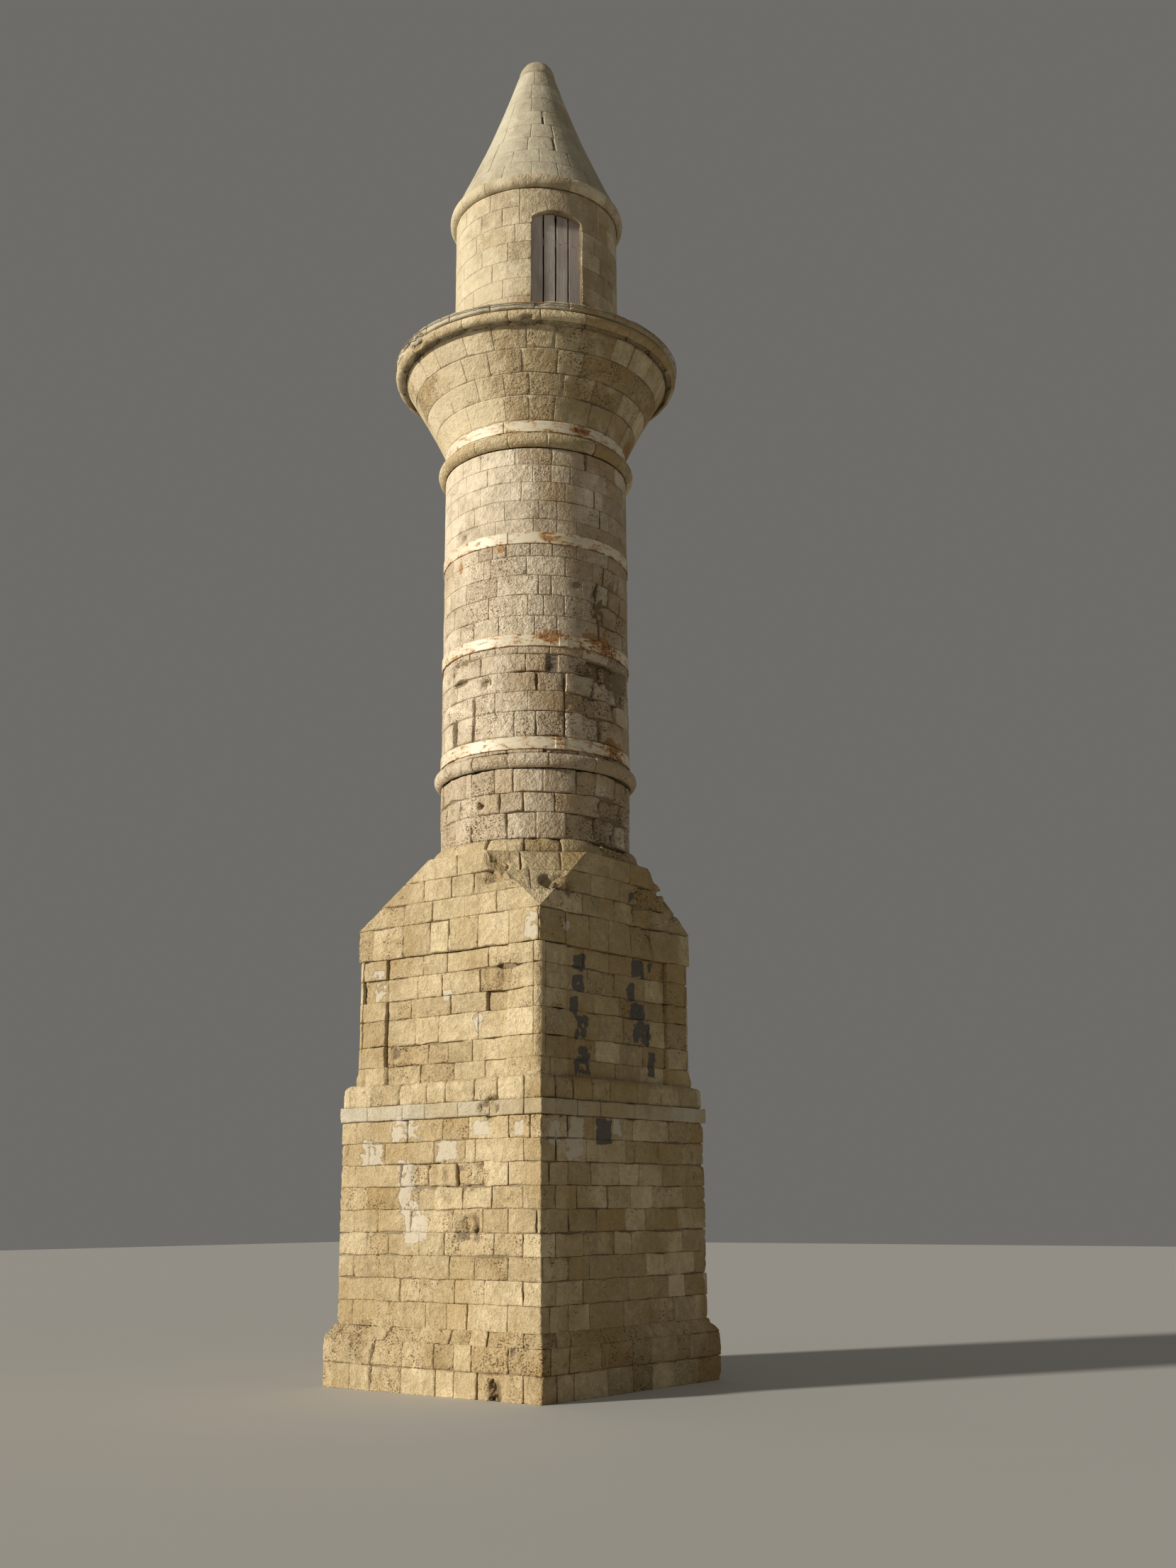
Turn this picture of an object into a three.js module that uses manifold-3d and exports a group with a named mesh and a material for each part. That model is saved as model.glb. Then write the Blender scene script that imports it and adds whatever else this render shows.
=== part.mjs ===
// A stone minaret. A square base turns into an octagon through corner broaches and carries a
// round shaft bound with metal straps. Above it a flared balcony, bare of its parapet, carries
// a round lantern under a stone cone.
//
// Millimetres, +Z up. The origin is on the ground under the middle of the round shaft, which
// stands a little off the middle of the square base. The front faces -Y and the right side faces
// +X. A bearing is an angle about the shaft's axis in degrees: 0 points to the front and 90 to
// the right side.

import * as THREE from 'three';
import { ConvexGeometry } from 'three/addons/geometries/ConvexGeometry.js';
import { mergeVertices } from 'three/addons/utils/BufferGeometryUtils.js';
import Module from 'manifold-3d';

const wasm = await Module();
wasm.setup();

// Heights above the ground, from the foot to the tip
const PLINTH_FACE_TOP = 490;
const PLINTH_TOP = 630;
const LOWER_WALL_TOP = 2630;
const STRING_COURSE_TOP = 2780;
const SPLAY_FACE_TOP = 2930;
const SPLAY_TOP = 3020;
const PANEL_TOP = 4330;
const UPPER_WALL_TOP = 4670;
const BROACH_TOP = 5340;
const SHAFT_FOOT_TOP = 5520;
const LOWER_DRUM_TOP = 6280;
const LOWER_ROLL_TOP = 6450;
const DRUM_TOPS = [7720, 8905, 9985];
const UPPER_ROLL_TOP = 10155;
const CORBEL_START = 10320;
const CORBEL_COURSE_TOPS = [10570, 10790, 11020, 11250];
const BALCONY_ROLL_TOP = 11380;
const BALCONY_TOP = 11470;
const LANTERN_WALL_TOP = 13345;
const CONE_CORNICE_TOP = 13500;
const CONE_FACE_TOP = 15520;
const TIP = 15765;

// The square base: its middle, and half of each course's side
const BASE_MIDDLE = [-105, -35];
const PLINTH_HALF = 1475;
const LOWER_WALL_HALF = 1376;
const STRING_COURSE_HALF = 1395;
const SPLAY_HALF = 1370;
const UPPER_WALL_HALF = 1294;

// Where the wide broach at the front left corner ends, from the middle of each side
const WIDE_BROACH_END = 250;

// Recessed panel on each side of the upper wall, and the rounded shaft on each corner
const PANEL_EDGE = 440;
const PANEL_DEPTH = 40;
const CORNER_NOTCH = 95;
const CORNER_SHAFT_RADIUS = 90;
const CORNER_SHAFT_START = 3190;
const CORNER_SHAFT_POINT = 3030;
const CORNER_SHAFT_POINT_INSET = 1;
const CORNER_SHAFT_POINT_RISE = 15;
const CORNER_SHAFT_STEPS = 6;

// Round courses
const FOOT_RADIUS = 1170;
const SHAFT_RADIUS = 1060;
const LOWER_ROLL_RADIUS = 1137;
const UPPER_ROLL_RADIUS = 1145;
const CORBEL_RIM_RADIUS = 1550;
const CORBEL_CURVE = 1.12;
const BALCONY_ROLL_INNER = 1605;
const BALCONY_RADIUS = 1670;
const LANTERN_RADIUS = 980;
const CORNICE_RADIUS = 1054;
const CONE_FOOT_RADIUS = 1017;
const CONE_SHOULDER_RADIUS = 260;
const ROUND_SEGMENTS = 48;
const ROLL_STEPS = 6;
const TIP_STEPS = 4;

// Hollow inside: half the square well's side, and the octagonal wells' apothems
const BASE_WELL_HALF = 750;
const SHAFT_WELL = 750;
const LANDING_SEAT_WELL = 650;
const LANTERN_WELL = 700;
const CONE_HOLLOW_TOP = 15100;
const CONE_HOLLOW_TIP = 40;
const WELL_SIDES = 8;

// Hatch in the landing floor, by its low and high corners
const HATCH_LOW = [-620, -270];
const HATCH_HIGH = [-80, 270];

// Metal straps around the shaft and the wire around the balcony's rim
const STRAP_BOTTOMS = [10180, 8840, 7650, 6490];
const STRAP_HEIGHT = 135;
const STRAP_THICKNESS = 14;
const WIRE_HEIGHT = 11430;
const WIRE_RADIUS = 6;
const WIRE_SIDES = 6;

// Doorway of the lantern and its boards
const DOOR_BEARING = 55;
const DOOR_WIDTH = 610;
const DOOR_SPRING = 12960;
const DOOR_CROWN = 13060;
const BOARD_COUNT = 4;
const BOARD_GAP = 8;
const BOARD_THICKNESS = 28;
const BOARD_FACE = 890;
const LEDGE_HEIGHTS = [11800, 12650];
const LEDGE_WIDTH = 95;
const LEDGE_THICKNESS = 24;

// Openings in the shaft: a window closed with wire mesh, and a slit
const WINDOW = { bearing: 50, width: 120, bottom: 7360, top: 7565 };
const SLIT = { bearing: -17, width: 90, bottom: 6650, top: 6920 };
const MESH_PLATE_FACE = 1035;
const MESH_PLATE_THICKNESS = 8;

// Clearance between neighbours that are cut to each other
const JOINT = 0.3;
const MERGE_DISTANCE = 1e-3;
const QUARTER_TURN = Math.PI / 2;

const FINISHES = {
  ashlar: { color: 0xc2a97c, roughness: 0.95, metalness: 0 },
  paleStone: { color: 0xcfc6b2, roughness: 0.9, metalness: 0 },
  coneStone: { color: 0xbdb096, roughness: 0.95, metalness: 0 },
  strapPaint: { color: 0xd8cba6, roughness: 0.55, metalness: 0.3 },
  wire: { color: 0x8f8a80, roughness: 0.5, metalness: 0.8 },
  board: { color: 0x8b7a70, roughness: 0.9, metalness: 0 },
};

// Turns a closed geometry into a solid, without the triangles that collapse on the axis.
function solidOf(geometry) {
  const bare = geometry.clone();
  bare.deleteAttribute('normal');
  bare.deleteAttribute('uv');
  const merged = mergeVertices(bare, MERGE_DISTANCE);
  const corners = merged.index.array;
  const triangles = [];
  for (let i = 0; i < corners.length; i += 3) {
    const [a, b, c] = [corners[i], corners[i + 1], corners[i + 2]];
    if (a !== b && b !== c && c !== a) {
      triangles.push(a, b, c);
    }
  }
  const vertProperties = new Float32Array(merged.attributes.position.array);
  const triVerts = new Uint32Array(triangles);
  return new wasm.Manifold(new wasm.Mesh({ numProp: 3, vertProperties, triVerts }));
}

function geometryOf(solid) {
  const faces = solid.getMesh();
  const geometry = new THREE.BufferGeometry();
  geometry.setAttribute('position', new THREE.BufferAttribute(faces.vertProperties, 3));
  geometry.setIndex(new THREE.BufferAttribute(faces.triVerts, 1));
  geometry.computeVertexNormals();
  return geometry;
}

function piece(name, solid, finish, height = 0) {
  const mesh = new THREE.Mesh(geometryOf(solid), new THREE.MeshStandardMaterial(FINISHES[finish]));
  mesh.name = name;
  mesh.position.z = height;
  return mesh;
}

// A convex block through the given corners.
function block(corners) {
  return solidOf(new ConvexGeometry(corners.map(([x, y, z]) => new THREE.Vector3(x, y, z))));
}

function box(low, high) {
  const corners = [];
  for (const x of [low[0], high[0]]) {
    for (const y of [low[1], high[1]]) {
      for (const z of [low[2], high[2]]) {
        corners.push([x, y, z]);
      }
    }
  }
  return block(corners);
}

function squareCorners(half, height) {
  return [[half, half, height], [half, -half, height], [-half, -half, height], [-half, half, height]];
}

// A solid turned about the tower's axis from [radius, height] points, listed upwards. A profile
// that starts and ends away from the axis is closed on itself as a ring.
function turned(profile) {
  const points = profile.map(([radius, height]) => new THREE.Vector2(radius, height));
  const geometry = new THREE.LatheGeometry(points, ROUND_SEGMENTS);
  return solidOf(geometry.rotateX(QUARTER_TURN));
}

// A turned course of full section: its profile with both ends carried in to the axis.
function turnedCourse(profile) {
  const bottom = profile[0][1];
  const top = profile[profile.length - 1][1];
  return turned([[0, bottom], ...profile, [0, top]]);
}

// An upright octagonal prism or tapered well, with flat sides to the front and the right.
function well(apothem, bottom, top, topApothem = apothem) {
  const corner = 1 / Math.cos(Math.PI / WELL_SIDES);
  const geometry = new THREE.CylinderGeometry(
    topApothem * corner, apothem * corner, top - bottom, WELL_SIDES);
  geometry.rotateX(QUARTER_TURN);
  geometry.rotateZ(Math.PI / WELL_SIDES);
  geometry.translate(0, 0, (bottom + top) / 2);
  return solidOf(geometry);
}

// A block with an upright outline that faces the front, from one distance to another.
function facing(outline, near, far, bearing = 0) {
  const geometry = new THREE.ExtrudeGeometry(outline, { depth: far - near, bevelEnabled: false });
  geometry.rotateX(QUARTER_TURN);
  geometry.translate(0, -near, 0);
  geometry.rotateZ(THREE.MathUtils.degToRad(bearing));
  return solidOf(geometry);
}

function rectangle(left, right, bottom, top) {
  return new THREE.Shape([
    new THREE.Vector2(left, bottom),
    new THREE.Vector2(right, bottom),
    new THREE.Vector2(right, top),
    new THREE.Vector2(left, top),
  ]);
}

// The doorway's outline: straight jambs under a low segmental arch, drawn in by a margin.
function doorOutline(margin) {
  const half = DOOR_WIDTH / 2 - margin;
  const rise = DOOR_CROWN - DOOR_SPRING;
  const radius = (half * half + rise * rise) / (2 * rise);
  const centre = DOOR_CROWN - margin - radius;
  const spread = Math.asin(half / radius);
  const outline = new THREE.Shape();
  outline.moveTo(-half, BALCONY_TOP);
  outline.lineTo(half, BALCONY_TOP);
  outline.absarc(0, centre, radius, QUARTER_TURN - spread, QUARTER_TURN + spread, false);
  outline.closePath();
  return outline;
}

// Points of a half-round moulding that swells from one radius to another.
function roll(inner, outer, bottom, top) {
  const points = [];
  for (let i = 0; i <= ROLL_STEPS; i += 1) {
    const angle = Math.PI * i / ROLL_STEPS;
    const height = (bottom + top) / 2 - (top - bottom) / 2 * Math.cos(angle);
    points.push([inner + (outer - inner) * Math.sin(angle), height]);
  }
  return points;
}

// The front quarter of a square course, cut at the two mitres with half a joint off each.
function frontQuarter(course) {
  const reach = 2 * PLINTH_HALF;
  const apex = JOINT / 2 * Math.SQRT2;
  const wedge = block([
    [0, -apex, -reach], [reach, -apex - reach, -reach], [-reach, -apex - reach, -reach],
    [0, -apex, TIP], [reach, -apex - reach, TIP], [-reach, -apex - reach, TIP],
  ]);
  return course.intersect(wedge);
}

// Places a copy of each piece on all four sides, the front one first.
function onFourSides(makePieces) {
  const base = new THREE.Group();
  ['front', 'right', 'back', 'left'].forEach((side, index) => {
    const quarter = new THREE.Group();
    quarter.rotation.z = index * QUARTER_TURN;
    quarter.add(...makePieces(side));
    base.add(quarter);
  });
  return base;
}

function plinthCourse() {
  const slopeFoot = squareCorners(PLINTH_HALF, PLINTH_FACE_TOP);
  const slopeHead = squareCorners(LOWER_WALL_HALF, PLINTH_TOP);
  return block([...squareCorners(PLINTH_HALF, 0), ...slopeFoot, ...slopeHead]);
}

function lowerWallCourse() {
  return block([
    ...squareCorners(LOWER_WALL_HALF, PLINTH_TOP),
    ...squareCorners(LOWER_WALL_HALF, LOWER_WALL_TOP),
  ]);
}

function stringCourse() {
  return block([
    ...squareCorners(STRING_COURSE_HALF, LOWER_WALL_TOP),
    ...squareCorners(STRING_COURSE_HALF, STRING_COURSE_TOP),
  ]);
}

function splayCourse() {
  return block([
    ...squareCorners(SPLAY_HALF, STRING_COURSE_TOP),
    ...squareCorners(SPLAY_HALF, SPLAY_FACE_TOP),
    ...squareCorners(UPPER_WALL_HALF, SPLAY_TOP),
  ]);
}

// The notch that the front right corner shaft stands in, which ends below in a point.
function cornerNotch() {
  const outer = UPPER_WALL_HALF;
  const inner = outer - CORNER_NOTCH;
  const corners = [[outer, -outer, CORNER_SHAFT_POINT]];
  for (const height of [CORNER_SHAFT_START, PANEL_TOP]) {
    corners.push([outer, -outer, height], [inner, -outer, height]);
    corners.push([inner, -inner, height], [outer, -inner, height]);
  }
  return block(corners);
}

// A quarter-round shaft on the front right corner, with a pointed stop at its foot.
function cornerShaft() {
  const inner = UPPER_WALL_HALF - CORNER_NOTCH + JOINT;
  const foot = UPPER_WALL_HALF - CORNER_SHAFT_POINT_INSET;
  const corners = [[foot, -foot, CORNER_SHAFT_POINT + CORNER_SHAFT_POINT_RISE]];
  for (const height of [CORNER_SHAFT_START + JOINT, PANEL_TOP - JOINT]) {
    corners.push([inner, -inner, height]);
    for (let i = 0; i <= CORNER_SHAFT_STEPS; i += 1) {
      const angle = QUARTER_TURN * i / CORNER_SHAFT_STEPS;
      const x = inner + CORNER_SHAFT_RADIUS * Math.cos(angle);
      const y = -inner - CORNER_SHAFT_RADIUS * Math.sin(angle);
      corners.push([x, y, height]);
    }
  }
  return block(corners);
}

// The upper wall's front: a recessed panel, and half a notch at each end for the corner shafts.
function upperWallFront() {
  const face = UPPER_WALL_HALF;
  const edge = face - PANEL_EDGE;
  const notch = cornerNotch();
  const panel = box([-edge, -2 * face, SPLAY_TOP - PANEL_DEPTH], [edge, -face + PANEL_DEPTH, PANEL_TOP]);
  const course = block([...squareCorners(face, SPLAY_TOP), ...squareCorners(face, UPPER_WALL_TOP)]);
  return frontQuarter(course.subtract(baseWell))
    .subtract(panel)
    .subtract(notch)
    .subtract(notch.rotate([0, 0, -90]));
}

// The square wall turns into an octagon: a triangular broach slopes in at each corner, wider at
// the front left, where the shaft stands farthest from the corner.
function broachStage() {
  const face = UPPER_WALL_HALF;
  const half = face * Math.tan(Math.PI / WELL_SIDES);
  const corners = squareCorners(face, UPPER_WALL_TOP);
  for (const across of [-face, face]) {
    const near = across < 0 ? -WIDE_BROACH_END : -half;
    for (const along of [near, half]) {
      corners.push([across, along, BROACH_TOP], [along, across, BROACH_TOP]);
    }
  }
  const shaftWell = well(SHAFT_WELL, UPPER_WALL_TOP - JOINT, BROACH_TOP + JOINT);
  return block(corners).subtract(shaftWell.translate([-BASE_MIDDLE[0], -BASE_MIDDLE[1], 0]));
}

// A hollow round course, drawn from its own underside at height 0.
function ringCourse(profile, apothem) {
  const top = profile[profile.length - 1][1];
  return turnedCourse(profile).subtract(well(apothem, -JOINT, top + JOINT));
}

function drum(bottom, top) {
  return ringCourse([[SHAFT_RADIUS, 0], [SHAFT_RADIUS, top - bottom]], SHAFT_WELL);
}

// A cushion course: its face rounds in from the octagon's ledge to the shaft.
function shaftFoot() {
  const height = SHAFT_FOOT_TOP - BROACH_TOP;
  const profile = [];
  for (let i = 0; i <= ROLL_STEPS; i += 1) {
    const angle = QUARTER_TURN * i / ROLL_STEPS;
    const radius = SHAFT_RADIUS + (FOOT_RADIUS - SHAFT_RADIUS) * Math.cos(angle);
    profile.push([radius, height * Math.sin(angle)]);
  }
  return ringCourse(profile, SHAFT_WELL);
}

function opening({ bearing, width, bottom, top }, drumBottom) {
  const outline = rectangle(-width / 2, width / 2, bottom - drumBottom, top - drumBottom);
  return facing(outline, SHAFT_WELL / 2, 2 * SHAFT_RADIUS, bearing);
}

function corbelRadius(height) {
  const rim = CORBEL_COURSE_TOPS[CORBEL_COURSE_TOPS.length - 1];
  const along = Math.max(0, (height - CORBEL_START) / (rim - CORBEL_START));
  return SHAFT_RADIUS + (CORBEL_RIM_RADIUS - SHAFT_RADIUS) * along ** CORBEL_CURVE;
}

// One course of the flared corbel. The lowest also holds the upright neck under the flare.
function corbelCourse(bottom, top) {
  const heights = bottom < CORBEL_START ? [bottom, CORBEL_START, top] : [bottom, top];
  const profile = heights.map((height) => [corbelRadius(height), height - bottom]);
  return ringCourse(profile, SHAFT_WELL);
}

function balconyRoll() {
  const bottom = CORBEL_COURSE_TOPS[CORBEL_COURSE_TOPS.length - 1];
  const profile = roll(BALCONY_ROLL_INNER, BALCONY_RADIUS, 0, BALCONY_ROLL_TOP - bottom);
  return ringCourse(profile, LANDING_SEAT_WELL);
}

function balconySlab() {
  const thickness = BALCONY_TOP - BALCONY_ROLL_TOP;
  return ringCourse([[BALCONY_RADIUS, 0], [BALCONY_RADIUS, thickness]], SHAFT_WELL);
}

// The floor that the lantern's door opens on. It rests on the ledge inside the balcony.
function landingFloor() {
  const thickness = BALCONY_TOP - BALCONY_ROLL_TOP;
  const hatch = box([...HATCH_LOW, -JOINT], [...HATCH_HIGH, thickness + JOINT]);
  return well(SHAFT_WELL - JOINT, 0, thickness).subtract(hatch);
}

function lanternWall() {
  const height = LANTERN_WALL_TOP - BALCONY_TOP;
  const doorway = facing(doorOutline(0), LANTERN_WELL / 2, 2 * LANTERN_RADIUS, DOOR_BEARING);
  return ringCourse([[LANTERN_RADIUS, 0], [LANTERN_RADIUS, height]], LANTERN_WELL)
    .subtract(doorway.translate([0, 0, -BALCONY_TOP]));
}

// Upright boards in the doorway's reveal, held together by two ledges on the inside.
function doorBoards() {
  const width = (DOOR_WIDTH - 2 * JOINT - (BOARD_COUNT - 1) * BOARD_GAP) / BOARD_COUNT;
  const back = BOARD_FACE - BOARD_THICKNESS;
  let boards = facing(doorOutline(JOINT), back, BOARD_FACE);
  for (let i = 1; i < BOARD_COUNT; i += 1) {
    const right = -DOOR_WIDTH / 2 + JOINT + i * (width + BOARD_GAP);
    const gap = rectangle(right - BOARD_GAP, right, 0, TIP);
    boards = boards.subtract(facing(gap, back - BOARD_GAP, BOARD_FACE + BOARD_GAP));
  }
  for (const bottom of LEDGE_HEIGHTS) {
    const half = DOOR_WIDTH / 2 - LEDGE_WIDTH / 2;
    const ledge = rectangle(-half, half, bottom, bottom + LEDGE_WIDTH);
    boards = boards.add(facing(ledge, back - LEDGE_THICKNESS, back + BOARD_GAP));
  }
  return boards;
}

function windowMesh() {
  const half = WINDOW.width / 2 - JOINT;
  const outline = rectangle(-half, half, WINDOW.bottom + JOINT, WINDOW.top - JOINT);
  return facing(outline, MESH_PLATE_FACE - MESH_PLATE_THICKNESS, MESH_PLATE_FACE);
}

function coneCornice() {
  const height = CONE_CORNICE_TOP - LANTERN_WALL_TOP;
  const profile = roll(LANTERN_RADIUS, CORNICE_RADIUS, 0, height);
  profile[profile.length - 1] = [CONE_FOOT_RADIUS, height];
  return ringCourse(profile, LANTERN_WELL);
}

// A straight cone with a blunt rounded tip, hollow below.
function cone() {
  const faceHeight = CONE_FACE_TOP - CONE_CORNICE_TOP;
  const profile = [[0, 0], [CONE_FOOT_RADIUS, 0]];
  for (let i = 0; i < TIP_STEPS; i += 1) {
    const angle = QUARTER_TURN * i / TIP_STEPS;
    const rise = (TIP - CONE_FACE_TOP) * Math.sin(angle);
    profile.push([CONE_SHOULDER_RADIUS * Math.cos(angle), faceHeight + rise]);
  }
  profile.push([0, TIP - CONE_CORNICE_TOP]);
  const hollow = well(LANTERN_WELL, -JOINT, CONE_HOLLOW_TOP - CONE_CORNICE_TOP, CONE_HOLLOW_TIP);
  return turned(profile).subtract(hollow);
}

function strap() {
  const inner = SHAFT_RADIUS + JOINT;
  const outer = inner + STRAP_THICKNESS;
  return turned([[inner, 0], [outer, 0], [outer, STRAP_HEIGHT], [inner, STRAP_HEIGHT], [inner, 0]]);
}

// A thin wire around the rim, with a section of few sides.
function rimWire() {
  const middle = BALCONY_RADIUS + JOINT + WIRE_RADIUS;
  const section = [];
  for (let i = 0; i <= WIRE_SIDES; i += 1) {
    const angle = 2 * Math.PI * i / WIRE_SIDES;
    section.push([middle + WIRE_RADIUS * Math.cos(angle), WIRE_RADIUS * Math.sin(angle)]);
  }
  return turned(section);
}

const baseWell = box(
  [-BASE_WELL_HALF, -BASE_WELL_HALF, -BASE_WELL_HALF],
  [BASE_WELL_HALF, BASE_WELL_HALF, 2 * UPPER_WALL_TOP]);

const minaret = new THREE.Group();

const plinthFront = frontQuarter(plinthCourse().subtract(baseWell));
const lowerWallFront = frontQuarter(lowerWallCourse().subtract(baseWell));
const upperFront = upperWallFront();
const cornerShaftFront = cornerShaft();
const base = onFourSides((side) => [
  piece(`plinth_${side}`, plinthFront, 'ashlar'),
  piece(`lower_wall_${side}`, lowerWallFront, 'ashlar'),
  piece(`upper_wall_${side}`, upperFront, 'ashlar'),
  piece(`corner_shaft_${side}`, cornerShaftFront, 'ashlar'),
]);
base.add(
  piece('string_course', stringCourse().subtract(baseWell), 'paleStone'),
  piece('splay_course', splayCourse().subtract(baseWell), 'ashlar'),
  piece('broach_stage', broachStage(), 'ashlar'),
);
base.position.set(...BASE_MIDDLE, 0);
minaret.add(base);

const lowerRoll = ringCourse(
  roll(SHAFT_RADIUS, LOWER_ROLL_RADIUS, 0, LOWER_ROLL_TOP - LOWER_DRUM_TOP), SHAFT_WELL);
const upperRollBottom = DRUM_TOPS[DRUM_TOPS.length - 1];
const upperRoll = ringCourse(
  roll(SHAFT_RADIUS, UPPER_ROLL_RADIUS, 0, UPPER_ROLL_TOP - upperRollBottom), SHAFT_WELL);
minaret.add(
  piece('shaft_foot', shaftFoot(), 'ashlar', BROACH_TOP),
  piece('lower_drum', drum(SHAFT_FOOT_TOP, LOWER_DRUM_TOP), 'ashlar', SHAFT_FOOT_TOP),
  piece('lower_roll', lowerRoll, 'ashlar', LOWER_DRUM_TOP),
  piece('upper_roll', upperRoll, 'ashlar', upperRollBottom),
);

let drumBottom = LOWER_ROLL_TOP;
DRUM_TOPS.forEach((top, index) => {
  let stone = drum(drumBottom, top);
  for (const hole of [WINDOW, SLIT]) {
    if (hole.bottom > drumBottom && hole.top < top) {
      stone = stone.subtract(opening(hole, drumBottom));
    }
  }
  minaret.add(piece(`shaft_drum_${index + 1}`, stone, 'ashlar', drumBottom));
  drumBottom = top;
});

STRAP_BOTTOMS.forEach((bottom, index) => {
  minaret.add(piece(`strap_${index + 1}`, strap(), 'strapPaint', bottom));
});

let corbelBottom = UPPER_ROLL_TOP;
CORBEL_COURSE_TOPS.forEach((top, index) => {
  minaret.add(piece(`corbel_course_${index + 1}`, corbelCourse(corbelBottom, top), 'ashlar', corbelBottom));
  corbelBottom = top;
});

minaret.add(
  piece('balcony_roll', balconyRoll(), 'ashlar', corbelBottom),
  piece('balcony_slab', balconySlab(), 'ashlar', BALCONY_ROLL_TOP),
  piece('rim_wire', rimWire(), 'wire', WIRE_HEIGHT),
  piece('landing_floor', landingFloor(), 'ashlar', BALCONY_ROLL_TOP),
  piece('lantern_wall', lanternWall(), 'ashlar', BALCONY_TOP),
  piece('cone_cornice', coneCornice(), 'ashlar', LANTERN_WALL_TOP),
  piece('cone', cone(), 'coneStone', CONE_CORNICE_TOP),
);

const doorway = new THREE.Group();
doorway.rotation.z = THREE.MathUtils.degToRad(DOOR_BEARING);
doorway.add(piece('door_boards', doorBoards(), 'board'));
const windowBay = new THREE.Group();
windowBay.rotation.z = THREE.MathUtils.degToRad(WINDOW.bearing);
windowBay.add(piece('window_mesh', windowMesh(), 'wire'));
minaret.add(doorway, windowBay);

export default minaret;
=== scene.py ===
"""Looks of a weathered stone minaret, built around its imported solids.

Every wall is laid as separate closed stones over a mortar core, course by course. A surface says
where the stones lie: its plan runs round the tower, its profile rises, and w points out of it.
"""

import itertools
import json
import logging
import math
from collections.abc import Callable, Iterable, Sequence
from dataclasses import dataclass, fields
from enum import Enum
from functools import cache

import bpy
import numpy as np
from mathutils import Matrix, Vector


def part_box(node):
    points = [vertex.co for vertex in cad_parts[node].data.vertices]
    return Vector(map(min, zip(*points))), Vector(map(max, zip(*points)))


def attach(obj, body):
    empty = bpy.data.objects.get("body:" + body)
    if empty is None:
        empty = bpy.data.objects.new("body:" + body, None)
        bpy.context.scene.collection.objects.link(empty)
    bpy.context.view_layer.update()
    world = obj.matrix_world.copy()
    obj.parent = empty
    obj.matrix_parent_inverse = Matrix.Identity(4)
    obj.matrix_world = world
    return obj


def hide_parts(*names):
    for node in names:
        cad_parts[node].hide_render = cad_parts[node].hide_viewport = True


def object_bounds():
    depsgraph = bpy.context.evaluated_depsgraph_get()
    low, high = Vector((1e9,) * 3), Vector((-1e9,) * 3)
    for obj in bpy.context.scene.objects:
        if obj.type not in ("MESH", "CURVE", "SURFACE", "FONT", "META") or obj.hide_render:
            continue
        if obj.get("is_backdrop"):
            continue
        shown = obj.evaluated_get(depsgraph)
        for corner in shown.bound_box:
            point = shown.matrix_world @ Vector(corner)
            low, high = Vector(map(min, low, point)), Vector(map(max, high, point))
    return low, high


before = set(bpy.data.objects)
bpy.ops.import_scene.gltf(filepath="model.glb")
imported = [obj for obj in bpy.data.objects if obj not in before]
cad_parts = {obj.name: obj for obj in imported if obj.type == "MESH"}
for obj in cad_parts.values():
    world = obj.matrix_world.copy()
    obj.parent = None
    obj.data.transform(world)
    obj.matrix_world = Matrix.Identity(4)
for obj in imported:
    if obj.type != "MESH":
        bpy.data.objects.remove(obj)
CAD_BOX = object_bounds()

LOG = logging.getLogger("minaret")
Array = np.ndarray
Pair = tuple[float, float]
Colour = tuple[float, float, float]
Depth = Callable[[Array], Array]

BODY = "root"
TINT = "tint"
WEATHER = "weather"
SIDES = ("front", "right", "back", "left")
UP = np.array([0.0, 0.0, 1.0])
TURN = 2 * math.pi
QUARTER = math.pi / 2
ROLL_STEPS = 10
THINNEST_WALL = 0.14
WEAR_DEPTH = 0.050
FULL_WEAR = 0.65

# A distance beyond every corner, and one too small to see.
FAR = 9.0
HAIR = 1e-4

# How near the joints of two courses may come, how far they are then moved, and the thinnest strip of stone.
CLEARANCE = 0.06
SHIFT = 0.07
SLIVER = 0.012


def hashed(cell: Array, seed: int) -> Array:
    """Give a repeatable value between 0 and 1 for each point of a lattice.

    Args:
        cell: Whole-number places, one row each.
        seed: Picks one of many unlike lattices.

    Returns:
        One value for each point.
    """
    mixed = cell @ np.array((374761393, 668265263, 1274126177)) + seed * 974634777
    mixed = mixed & 0xFFFFFFFF
    mixed = ((mixed ^ (mixed >> 13)) * 1103515245) & 0xFFFFFFFF
    mixed = ((mixed ^ (mixed >> 15)) * 668265263) & 0xFFFFFFFF
    return ((mixed ^ (mixed >> 16)) & 0xFFFF) / 65535.0


def ramp(values: Array, low: float, high: float) -> Array:
    """Rise smoothly from 0 at the low value to 1 at the high one."""
    part = np.clip((values - low) / (high - low), 0, 1)
    return part * part * (3 - 2 * part)


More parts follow.
